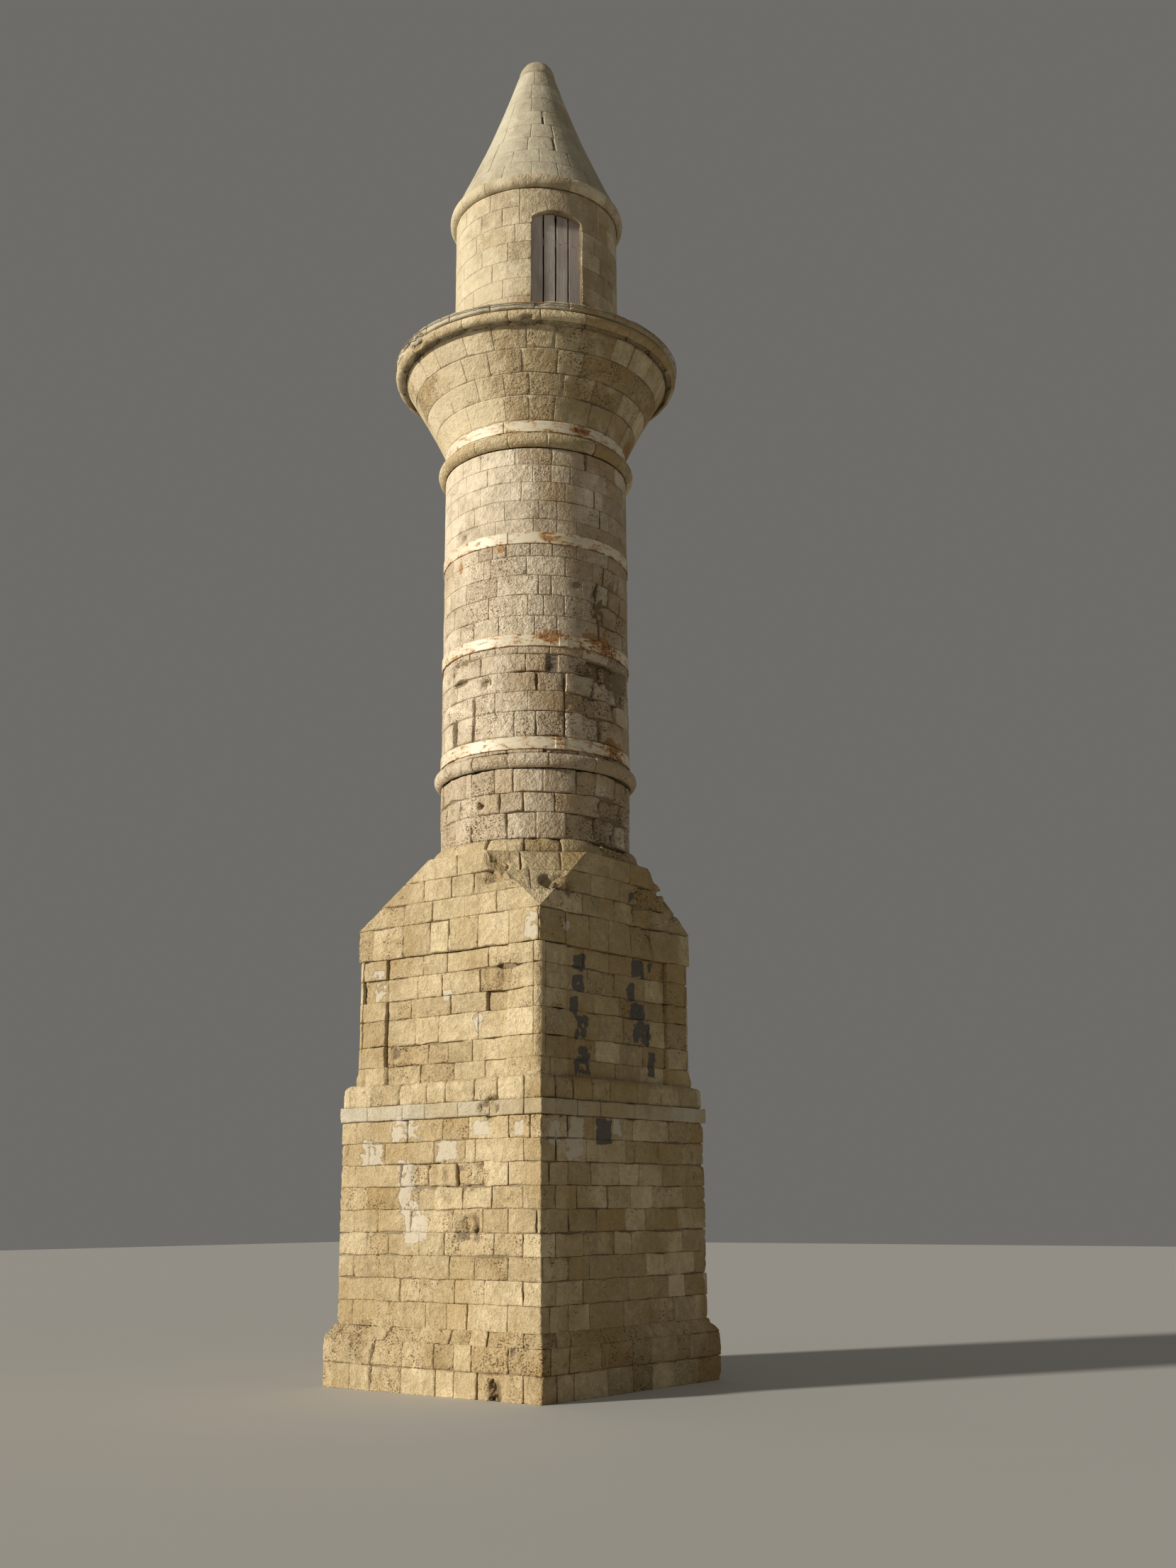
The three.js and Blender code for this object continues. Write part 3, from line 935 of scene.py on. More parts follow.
@dataclass(frozen=True)
class Masonry:
    """How the stones of one piece are cut, laid and worn."""

    seed: int
    lengths: Pair = (0.26, 0.48)
    joint: float = 0.008
    mortar: Pair = (0.022, 0.036)
    arris: float = 0.007
    depth: float = 0.11
    rough: float = 0.006
    uneven: float = 0.008
    waver: float = 0.005
    chip: float = 0.012
    corner: float = 0.014
    pits: float = 0.5
    grid: float = 0.032
    warmth: float = 0.5
    # A pale wash, laid thicker towards the sunlit side as painted light.
    wash: float = 0.0
    # Pale smear over the joints, thinned on the mortar core towards the shaded side as painted shade.
    smear: float = 0.0
    spread: float = 1.0

    def breaks(
        self, start: float, end: float, metres: float, rng: np.random.Generator,
        below: Sequence[float] = (), fixed: Sequence[float] = (),
    ) -> list[float]:
        """Choose where the upright joints of one course fall.

        Args:
            start: Where the course starts.
            end: Where it ends.
            metres: Metres in one unit of u.
            rng: Source of random numbers.
            below: Joints of the course underneath, which these keep off.
            fixed: Joints that have to be there.

        Returns:
            All the joints, with both ends.
        """
        stops = sorted({start, end, *(place for place in fixed if start < place < end)})
        mean = sum(self.lengths) / 2
        spread = (self.lengths[1] - self.lengths[0]) / mean
        found = [start]
        for first, last in zip(stops, stops[1:]):
            sizes = 1 + spread * (rng.random(max(1, round((last - first) * metres / mean))) - 0.5)
            places = first + np.cumsum(sizes) / sizes.sum() * (last - first)
            for place in places[:-1]:
                near = [joint for joint in below if abs(joint - place) * metres < CLEARANCE]
                shift = SHIFT / metres * (1 if place > near[0] else -1) if near else 0.0
                found.append(float(place + shift))
            found.append(last)
        return found

    def courses(
        self, levels: Sequence[float], start: float, end: float, metres: float,
        openings: Sequence[Opening] = (), fixed: Callable[[int], Sequence[float]] = lambda row: (),
        closed: bool = True, sink: float = 0.0, first_gap: float = 1.0, cracks: Sequence[Crack] = (),
    ) -> list[Stone]:
        """Cut the stones of several courses.

        Args:
            levels: Beds of the courses, from the foot up, with the top.
            start: Where each course starts.
            end: Where it ends.
            metres: Metres in one unit of u.
            openings: Holes that the stones stop at.
            fixed: Joints that a course has to have, by its number.
            closed: Whether the courses run all the way round.
            sink: How far the stones are set back.
            first_gap: Joint under the lowest course, as a share of the others.
            cracks: Joints that have opened.

        Returns:
            The stones.
        """
        rng = np.random.default_rng(self.seed)
        turn = end - start
        stones: list[Stone] = []
        joints: list[float] = []

        def meet(joint: float, place: float) -> bool:
            """Say whether a joint stands at a place, on this turn or the next."""
            return abs((joint - place + 1) % turn - 1) < 1e-6

        for row, (low, high) in enumerate(zip(levels, levels[1:])):
            holes = [hole for hole in openings if hole.low < high - SLIVER and hole.high > low + SLIVER]
            open_here = [crack for crack in cracks if crack.low < (low + high) / 2 < crack.high]
            wanted = [edge for hole in holes for edge in (hole.right, hole.left)]
            wanted += [*fixed(row), *(crack.place for crack in open_here)]
            begin = start
            if closed:
                begin = wanted[0] if wanted else start + rng.random() * turn * 0.1
            places = [place + shift for place in wanted for shift in (-turn, 0, turn)]
            joints = self.breaks(begin, begin + turn, metres, rng, joints, places)
            for left, right in zip(joints, joints[1:]):
                middle = (left + right) / 2
                gaps = [1.0, 1.0, 1.0 if row else first_gap, 1.0]
                flare = [0.0, 0.0]
                hole = next((hole for hole in holes if hole.left < middle < hole.right
                             or hole.left < middle - turn < hole.right), None)
                parts = ((low, hole.low), (hole.high, high)) if hole else ((low, high),)
                if not hole:
                    for side, joint in enumerate((left, right)):
                        for crack in open_here:
                            gaps[side] = crack.gap if meet(joint, crack.place) else gaps[side]
                        for other in holes:
                            edge, wider = ((other.right, other.flare), (other.left, -other.flare))[side]
                            flare[side] = wider if meet(joint, edge) else flare[side]
                stones += [Stone(foot, head, (left, left), (right, right), gaps, flare, sink)
                           for foot, head in parts if not hole or head - foot > SLIVER]
        return stones

    def lines(self, length: float, extra: Iterable[float]) -> Array:
        """Space a stone's mesh lines, close at its arrises and wide between.

        Args:
            length: Length of the edge in metres.
            extra: Places that need a line of their own.

        Returns:
            Places along the edge, from 0 to the length.
        """
        arris = min(self.arris, length / 8)
        inner = max(1, round((length - 6 * arris) / self.grid))
        middle = np.linspace(3 * arris, length - 3 * arris, inner + 1)
        kept = [place for place in extra if HAIR < place < length - HAIR]
        if kept:
            middle = middle[np.min(np.abs(middle[:, None] - np.array(kept)), axis=1) > 0.006]
        return np.unique(np.concatenate([[0.0, arris, length - arris, length], middle, kept]))

    def lay(
        self, body: Body, surface: Surface, stones: Sequence[Stone], weather: Weather, cut: Depth = uncut,
    ) -> None:
        """Build the stones on a surface.

        Args:
            body: Mesh that they join.
            surface: Surface that they lie on.
            stones: Their outlines.
            weather: What has happened to them.
            cut: Extra depth at each point, for a shape cut into the stones.
        """
        rng = np.random.default_rng(self.seed + 1000)
        sheets = []
        for stone in stones:
            metres = surface.metres((stone.low + stone.high) / 2)
            left, right, height = np.array(stone.left), np.array(stone.right), stone.high - stone.low
            start, end = float(left.mean()), float(right.mean())
            width = (end - start) * metres
            extra = [(place - start) * metres for place in (*surface.across(start, end), *stone.marks)]
            rise = [place - stone.low for place in surface.upward(stone.low, stone.high)]
            across, up = self.lines(width, extra) / width, self.lines(height, rise) / height
            s, t = np.meshgrid(across, up, indexing="ij")
            u = (left[0] + (right[0] - left[0]) * s) * (1 - t) + (left[1] + (right[1] - left[1]) * s) * t
            foot = stone.low if stone.bed is None else np.maximum(stone.low, stone.bed(u[:, :1]))
            top = stone.high if stone.head is None else np.minimum(stone.high, stone.head(u[:, :1]))
            v = foot + (top - foot) * t
            draw = rng.random(12)
            share = np.array(stone.gaps)
            crack = np.maximum(share - 1, 0)
            gaps = np.where(crack > 0, 1.0, share * (0.35 + 1.3 * draw[8:]))
            far = share < 0.3
            lean = self.uneven * ((draw[4] - 0.5) * s + (draw[5] - 0.5) * t)
            ends = [0, 0, -1, -1], [0, -1, 0, -1]
            corners = surface.place(u[ends], v[ends], np.zeros(4))
            broken = weather.sink(corners.min(0), corners.max(0))
            sheets.append({
                "u": u, "v": v, "metres": metres, "broken": broken, "sunk": stone.sink + broken,
                "bright": draw[1], "hue": draw[2], "pitting": draw[3], "own": draw[6],
                "pull": ((1 - s) * gaps[0] - s * gaps[1]) / metres,
                "split": ((1 - s) * crack[0] - s * crack[1]) / metres,
                "lift": (1 - t) * gaps[2] - t * gaps[3],
                "across": np.minimum(s * width + far[0], (1 - s) * width + far[1]),
                "up": np.minimum(t * height + far[2], (1 - t) * height + far[3]),
                "back": self.uneven * draw[0] ** 2 + np.maximum(lean, 0.0),
            })
        joined = {
            name: np.concatenate([np.broadcast_to(sheet[name], sheet["u"].shape).ravel() for sheet in sheets])
            for name in sheets[0]
        }
        stain = weather.stains(surface.place(joined["u"], joined["v"], np.zeros(len(joined["u"]))))
        u, v, front, tint = self.weathered(surface, joined, stain, weather, cut)
        offset = 0
        for stone, sheet in zip(stones, sheets):
            rows, columns = sheet["u"].shape
            count = rows * columns
            part = slice(offset, offset + count)
            index = np.arange(count).reshape(rows, columns)
            cells = np.stack([index[:-1, :-1], index[1:, :-1], index[1:, 1:], index[:-1, 1:]], axis=-1)
            if stone.bed is None and stone.head is None:
                edges = (index[:, 0], index[-1, :], index[::-1, -1], index[0, ::-1])
                behind, closing = self.plain_back(edges, count)
            else:
                behind = np.concatenate([index[:-1, 0], index[-1, :-1], index[:0:-1, -1], index[0, :0:-1]])
                closing = self.full_back(behind, count)
            shove = stone.flare[0] * (behind < columns) + stone.flare[1] * (behind >= count - columns)
            depth = np.full(len(behind), -self.depth - sheet["sunk"])
            back = surface.place(u[part][behind] + shove, v[part][behind], depth)
            whole = np.concatenate([np.arange(count), behind])
            points = np.concatenate([front[part], back])
            body.add(points, (cells.reshape(-1, 4), *closing), 0, tint[part][whole], stain[part][whole])
            offset += count

    def weathered(
        self, surface: Surface, sheet: dict[str, Array], stain: Array, weather: Weather, cut: Depth,
    ) -> tuple[Array, Array, Array, Array]:
        """Open the joints, round the edges and wear the faces of stones.

        Args:
            surface: Surface that they lie on.
            sheet: What lay() gives for each vertex: its place, the pull of the joints, the distances to
                the stone's edges, and the stone's own draws, set-back and depth.
            stain: Plaster, residue, rust and wear of each vertex.
            weather: What has happened to the stones.
            cut: Extra depth at each point.

        Returns:
            The shifted u and v, the points in space and the tints, with painted shade and painted light in
            them.
        """
        u, v, across, up, broken, own = (sheet[name] for name in ("u", "v", "across", "up", "broken", "own"))
        flat = surface.place(u, v, np.zeros(len(u)))
        shifted = flat + (own * 40)[:, None]
        wear = weather.worn(stain)
        lumps = noise(shifted, 0.14, self.seed + 15)
        fine = noise(shifted, 0.055, self.seed + 16, 2)
        worn = 1.6 * (sheet["pitting"] - 1 + self.pits) + 0.35 * noise(flat, 0.7, self.seed + 17) + 0.6 * wear
        worn = np.clip(worn, 0, 1.2)
        round_off = self.corner * (0.5 + own + 0.8 * worn)
        inner = np.hypot(np.maximum(round_off - across, 0), np.maximum(round_off - up, 0))
        edge = np.where(inner > 0, round_off - inner, np.minimum(across, up))
        opened = np.maximum(ramp(noise(flat, 0.26, self.seed + 10), -0.5, 0.9), 0.6 * self.smear)
        joint = self.joint / 2 * (0.2 + 2.8 * opened**2 + 1.0 * wear) + 0.014 * wear * opened
        stray = self.waver * (1 + wear) * (1 - ramp(edge, 0.0, 0.07))
        wave = noise(flat, 0.22, self.seed + 11) + 0.42 * noise(shifted, 0.09, self.seed + 12)
        lift = noise(flat, 0.20, self.seed + 13) + 0.42 * noise(shifted, 0.08, self.seed + 14)
        u = u + sheet["pull"] * joint + sheet["split"] * self.joint * (0.6 + 0.8 * opened)
        u = u + stray * wave / sheet["metres"]
        v = v + sheet["lift"] * joint + stray * lift
        radius = self.arris * (0.6 + 0.7 * ramp(lumps, -0.6, 0.9) + 0.7 * worn + 1.2 * wear)
        curve = np.sqrt(1 - (1 - np.clip(edge / radius, 0, 1)) ** 2)
        arris = radius * (1 - curve) + 0.9 * np.maximum(-edge, 0)
        ridge = 1 - ramp(surface.ridge(sheet["u"]), 0.0, 0.045)
        chipped = (1 - ramp(edge, 0.0, 0.032)) * (0.35 + worn) + ridge * (0.5 + worn)
        chips = self.chip * ramp(fine + 0.4 * lumps, 0.15, 0.8) * chipped
        relief = self.rough * (0.5 + 0.5 * lumps) * (0.5 + 1.6 * worn)
        pits = self.rough * 2.0 * ramp(fine, 0.1, 0.8) * worn
        hollow = weather.depth(flat) * (1 + 0.3 * lumps + 0.3 * fine)
        lost = (sheet["back"] + chips + np.maximum(relief, 0) + pits) * (1 + 1.2 * wear)
        lost = lost + wear * (0.030 * ramp(lumps + 0.5 * fine, -0.2, 0.9) + 0.030 * own)
        lost = lost + 0.3 * broken * ramp(lumps + fine, -0.4, 1.0)
        lost = np.minimum(lost, self.mortar[0] - 0.003 + WEAR_DEPTH * wear + 0.3 * broken)
        front = surface.place(u, v, -(sheet["sunk"] + lost + arris + np.maximum(hollow, 0) + cut(flat)))
        shade = weather.shade(flat)
        # Painted shade: towards the shaded side the stones are painted darker and warmer brown, in mottled
        # patches, and differ more from stone to stone.
        damp = noise(flat, 0.8, self.seed + 21, 4) + 0.8 * (sheet["hue"] - 0.5)
        # Painted shade: hollows and broken-back stones are painted darker, the deeper the darker.
        bright = (0.46 + 0.5 * shade) * self.spread * (sheet["bright"] - 0.5) - 7 * (hollow + 0.5 * broken)
        bright = bright + (0.16 + 0.2 * shade) * noise(flat, 0.9, self.seed + 18) - 0.22 * shade
        warmth = 0.20 * (sheet["hue"] - 0.5) + 0.18 * noise(flat, 1.3, self.seed + 19)
        warmth = warmth + shade * (0.15 + 0.6 * damp)
        # The erosion channel grows with lost stone and with the depth of hollows, so the shader paints worn
        # and deeper places darker: real wear and painted shade in the recesses.
        depth = 0.2 + 30 * (relief + pits + chips) + 9 * (hollow + broken)
        # Painted light: the pale wash is spread much thicker towards the sunlit side.
        wash = (1 + 0.9 * noise(flat, 0.8, self.seed + 20)) * (0.4 + 1.4 * weather.sunny(flat))
        erosion_and_recess_shade = np.clip(depth * 0.40 + 0.45 * worn, 0, 1)
        return u, v, front, np.stack([0.5 + bright, self.warmth + warmth, erosion_and_recess_shade, self.wash * wash], axis=1)

    def plain_back(self, edges: Sequence[Array], count: int) -> tuple[Array, list[Array]]:
        """Close a four-sided stone with sides that run back to four corners.

        Args:
            edges: The face's vertices along each of its edges, one after the other.
            count: How many vertices the face has.

        Returns:
            Which of the face's vertices the back ones lie behind, and the faces.
        """
        triangles = []
        for side, edge in enumerate(edges):
            near, far, half = count + side, count + (side + 1) % 4, len(edge) // 2
            for place, (first, second) in enumerate(zip(edge, edge[1:])):
                triangles.append((first, near if place < half else far, second))
            triangles.append((edge[half], near, far))
        back = [(count, count + 3, count + 2, count + 1)]
        return np.array([edge[0] for edge in edges]), [np.array(triangles), np.array(back)]

    def full_back(self, rim: Array, count: int) -> list[Array]:
        """Close a stone with a back that follows its whole outline.

        Args:
            rim: The face's outer vertices in order.
            count: How many vertices the face has.

        Returns:
            The faces.
        """
        ring = count + np.arange(len(rim))
        skirt = np.stack([rim, ring, np.roll(ring, -1), np.roll(rim, -1)], axis=1)
        return [skirt, ring[::-1][None]]

    def core(
        self, body: Body, surface: Wall | Broach, well: float, weather: Weather,
        openings: Sequence[Opening] = (), recess: Depth = uncut, step: float = 0.09,
    ) -> None:
        """Build the closed ring of mortar and rubble behind the stones.

        Args:
            body: Mesh that it joins.
            surface: Surface of the stones.
            well: Half width of the hollow inside.
            weather: What has happened to the wall.
            openings: Holes through the wall.
            recess: Extra depth at each point, where the stones are set back.
            step: Size of its mesh cells.
        """
        period, length = surface.period, surface.length
        even = np.linspace(0, period, max(16, round(period * surface.metres(length / 2) / step)) + 1)[:-1]
        extra = [place for hole in openings for place in (hole.left, hole.right)]
        extra = [place % period for place in (*extra, *surface.across(-0.1, period - 0.1))]
        across = np.unique(np.round([*even, *extra], 5))
        extra = [place for hole in openings for place in (hole.low, hole.high)]
        extra = [place for place in (*extra, *surface.upward(0, length)) if 0 <= place <= length]
        rise = np.unique(np.round([*np.linspace(0, length, max(1, round(length / step)) + 1), *extra], 5))
        u, v = (grid.ravel() for grid in np.meshgrid(across, rise, indexing="ij"))
        flat = surface.place(u, v, np.zeros(len(u)))
        level = ramp(noise(flat, 0.5, self.seed + 30), -0.7, 0.7)
        away = self.mortar[0] + (self.mortar[1] - self.mortar[0]) * level
        broken = weather.core_depth(flat)
        away = away * (1 + 0.1 * noise(flat, 0.1, self.seed + 31)) + broken + recess(flat)
        outer = surface.place(u, v, -away)
        hidden = np.column_stack([surface.within(u, v, well), outer[:, 2]])
        middle = (across + np.diff(np.append(across, across[0] + period)) / 2)[:, None]
        centre = ((rise[:-1] + rise[1:]) / 2)[None, :]
        solid = np.ones((len(across), len(rise) - 1), bool)
        for hole in openings:
            for turn in (-period, 0, period):
                inside = (middle + turn > hole.left) & (middle + turn < hole.right)
                solid &= ~(inside & (centre > hole.low) & (centre < hole.high))
        index = np.arange(len(u)).reshape(len(across), len(rise))
        following = np.roll(index, -1, axis=0)
        cell = np.stack([index[:, :-1], following[:, :-1], following[:, 1:], index[:, 1:]], axis=-1)
        faces = [cell[solid], cell[solid][:, ::-1] + len(u)]
        padded = np.pad(solid, ((0, 0), (1, 1)))
        beyond = (padded[:, :-2], np.roll(solid, -1, axis=0), padded[:, 2:], np.roll(solid, 1, axis=0))
        for side, neighbour in enumerate(beyond):
            rim = cell[solid & ~neighbour]
            first, second = rim[:, side], rim[:, (side + 1) % 4]
            faces.append(np.stack([second, first, first + len(u), second + len(u)], axis=1))
        # Painted shade: the pale smear on the mortar core is thinned towards the shaded side.
        smear = self.smear * (1 + 0.5 * noise(flat, 0.4, self.seed + 32)) * (1 - 0.7 * weather.shade(flat))
        # Painted shade: the mortar core is painted darker, and its pale smear fainter, where it lies deeper
        # behind lost or worn stone.
        tint = np.column_stack([0.5 - 7 * broken, np.full((len(u), 2), 0.5), smear * (1 - 12 * broken)])
        stain = weather.stains(flat) * 0.6
        body.add(np.concatenate([outer, hidden]), faces, 1, np.tile(tint, (2, 1)), np.tile(stain, (2, 1)))


def loft(
    body: Body, sections: Array, closed: bool = False, look: int = 0, tint: Array | None = None,
    stain: Array | None = None,
) -> None:
    """Add a body that runs through a row of sections.

    Args:
        body: Mesh that it joins.
        sections: Points, by section and by place round it.
        closed: Whether the last section joins the first.
        look: Which of the piece's finishes it takes.
        tint: Brightness, warmth, erosion and wash of each vertex, which carry painted shade and painted
            light.
        stain: Plaster, residue, rust and wear of each vertex.
    """
    count, sides = sections.shape[:2]
    index = np.arange(count * sides).reshape(count, sides)
    first = index if closed else index[:-1]
    second = np.roll(index, -1, axis=0) if closed else index[1:]
    quads = np.stack([first, second, np.roll(second, -1, axis=1), np.roll(first, -1, axis=1)], axis=-1)
    faces = [quads.reshape(-1, 4)]
    if not closed:
        faces += [index[:1], index[-1:, ::-1]]
    body.add(sections.reshape(-1, 3).copy(), faces, look, tint, stain)


def tube(
    body: Body, path: Array, radius: float, side: Sequence[float], sides: int = 6, closed: bool = False,
) -> None:
    """Add a round bar along a path.

    Args:
        body: Mesh that it joins.
        path: Points along its middle.
        radius: Its radius.
        side: A direction that the path never runs along.
        sides: How many faces it has around.
        closed: Whether its end joins its start.
    """
    ends = np.roll(path, -1, axis=0) - np.roll(path, 1, axis=0)
    along = ends if closed else np.gradient(path, axis=0)
    along /= np.linalg.norm(along, axis=1)[:, None]
    out = np.cross(along, np.array(side, float))
    out /= np.linalg.norm(out, axis=1)[:, None]
    up = np.cross(out, along)
    angle = np.linspace(0, TURN, sides, endpoint=False)[None, :, None]
    loft(body, path[:, None] + radius * (np.cos(angle) * out[:, None] + np.sin(angle) * up[:, None]), closed)


class Signal:
    """An output socket of a shader graph, which formulas can be written with."""

    def __init__(self, graph: "Graph", socket: bpy.types.NodeSocket) -> None:
        """Take up a socket of a graph."""
        self.graph = graph
        self.socket = socket

    def __add__(self, other: "Value") -> "Signal":
        """Add a value."""
        return self.graph.math("ADD", self, other)

    def __radd__(self, other: "Value") -> "Signal":
        """Add to a value."""
        return self.graph.math("ADD", other, self)

    def __sub__(self, other: "Value") -> "Signal":
        """Take a value away."""
        return self.graph.math("SUBTRACT", self, other)

    def __rsub__(self, other: "Value") -> "Signal":
        """Take it away from a value."""
        return self.graph.math("SUBTRACT", other, self)

    def __mul__(self, other: "Value") -> "Signal":
        """Multiply by a value."""
        return self.graph.math("MULTIPLY", self, other)

    def around(self, amount: float) -> "Signal":
        """Give how far it lies from one half, times an amount."""
        return (self - 0.5) * amount

    def step(self, low: float, high: float, start: float = 0.0, end: float = 1.0) -> "Signal":
        """Rise smoothly from one value to another between two thresholds."""
        inputs = {0: self, 1: low, 2: high, 3: start, 4: end}
        return self.graph.node("MapRange", 0, inputs, interpolation_type="SMOOTHSTEP")

    def beside(self, output: int | str) -> "Signal":
        """Give another output of the same node."""
        return Signal(self.graph, self.socket.node.outputs[output])


Value = Signal | float | Sequence[float]


class Graph:
    """Adds nodes to a tree, so that an effect reads as a formula."""

    def __init__(self, tree: bpy.types.NodeTree) -> None:
        """Work on a tree."""
        self.tree = tree

    def feed(self, socket: bpy.types.NodeSocket, value: Value) -> None:
        """Link a signal to a socket, or set a plain value or colour on it.

        Args:
            socket: The input socket.
            value: What it takes.
        """
        if isinstance(value, Signal):
            self.tree.links.new(value.socket, socket)
        else:
            socket.default_value = (*value, 1.0) if socket.type == "RGBA" else value

    def node(
        self, kind: str, output: int | str, inputs: dict[int | str, Value], **settings: object,
    ) -> Signal:
        """Add a node.

        Args:
            kind: Its type, without the ShaderNode prefix.
            output: Which of its outputs is wanted.
            inputs: Values or signals for its inputs, by number or name.
            settings: Its own properties.

        Returns:
            The output.
        """
        node = self.tree.nodes.new("ShaderNode" + kind)
        for name, value in settings.items():
            setattr(node, name, value)
        for key, value in inputs.items():
            self.feed(node.inputs[key], value)
        return Signal(self, node.outputs[output])

    def math(self, operation: str, first: Value, second: Value, clamp: bool = False) -> Signal:
        """Work out one value from two."""
        return self.node("Math", 0, {0: first, 1: second}, operation=operation, use_clamp=clamp)

    def blend(self, factor: Value, first: Value, second: Value, mode: str = "MIX") -> Signal:
        """Blend two colours."""
        return self.node("Mix", 2, {0: factor, 6: first, 7: second}, data_type="RGBA", blend_type=mode)

    def noise(self, where: Signal, scale: float, detail: float = 3.0, warp: float = 0.0) -> Signal:
        """Give noise between 0 and 1."""
        inputs = {"Vector": where, "Scale": scale, "Detail": detail, "Distortion": warp}
        return self.node("TexNoise", 0, inputs)

    def cells(self, where: Signal, scale: float) -> Signal:
        """Give the distance from the middle of the nearest cell."""
        return self.node("TexVoronoi", "Distance", {"Vector": where, "Scale": scale})

    def stretched(self, *scale: float) -> Signal:
        """Give the object's own coordinates, stretched along the axes."""
        where = self.node("TexCoord", "Object", {})
        return self.node("VectorMath", 0, {0: where, 1: scale}, operation="MULTIPLY")

    def attribute(self, name: str) -> list[Signal]:
        """Read a colour attribute of the mesh.

        Args:
            name: Its name.

        Returns:
            Its four channels.
        """
        colour = self.node("Attribute", "Color", {}, attribute_name=name)
        red = self.node("SeparateColor", 0, {0: colour})
        return [red, red.beside(1), red.beside(2), colour.beside("Alpha")]

    def effect(self, tree: bpy.types.NodeTree, inputs: dict[str, Value]) -> dict[str, Value]:
        """Place an effect with its own values.

        Args:
            tree: The effect's node group.
            inputs: Values for its inputs, by name.

        Returns:
            What it feeds into the shader's inputs, by their names, and the Height of the bumps.
        """
        colour = self.node("Group", "Color", inputs, node_tree=tree)
        others = {label: colour.beside(label) for label in ("Roughness", "Height")}
        return {"Base Color": colour} | others


class Effect(Graph):
    """A shader node group with named inputs and outputs."""

    def __init__(self, name: str, inputs: dict[str, float | Colour]) -> None:
        """Start the group.

        Args:
            name: Its name.
            inputs: Names of its inputs, with a colour or a number for each.
        """
        super().__init__(bpy.data.node_groups.new(name, "ShaderNodeTree"))
        for label, value in inputs.items():
            colour = isinstance(value, Sequence)
            kind = "NodeSocketColor" if colour else "NodeSocketFloat"
            socket = self.tree.interface.new_socket(name=label, in_out="INPUT", socket_type=kind)
            socket.default_value = (*value, 1.0) if colour else value
        sockets = self.tree.nodes.new("NodeGroupInput").outputs
        self.given = [Signal(self, sockets[label]) for label in inputs]

    def give(self, **results: Signal) -> bpy.types.NodeTree:
        """Make the group's outputs and link a signal to each.

        Args:
            results: The signals, by the names of their outputs.

        Returns:
            The finished group.
        """
        for label in results:
            kind = "NodeSocketColor" if label == "Color" else "NodeSocketFloat"
            self.tree.interface.new_socket(name=label, in_out="OUTPUT", socket_type=kind)
        sockets = self.tree.nodes.new("NodeGroupOutput").inputs
        for label, value in results.items():
            self.feed(sockets[label], value)
        return self.tree


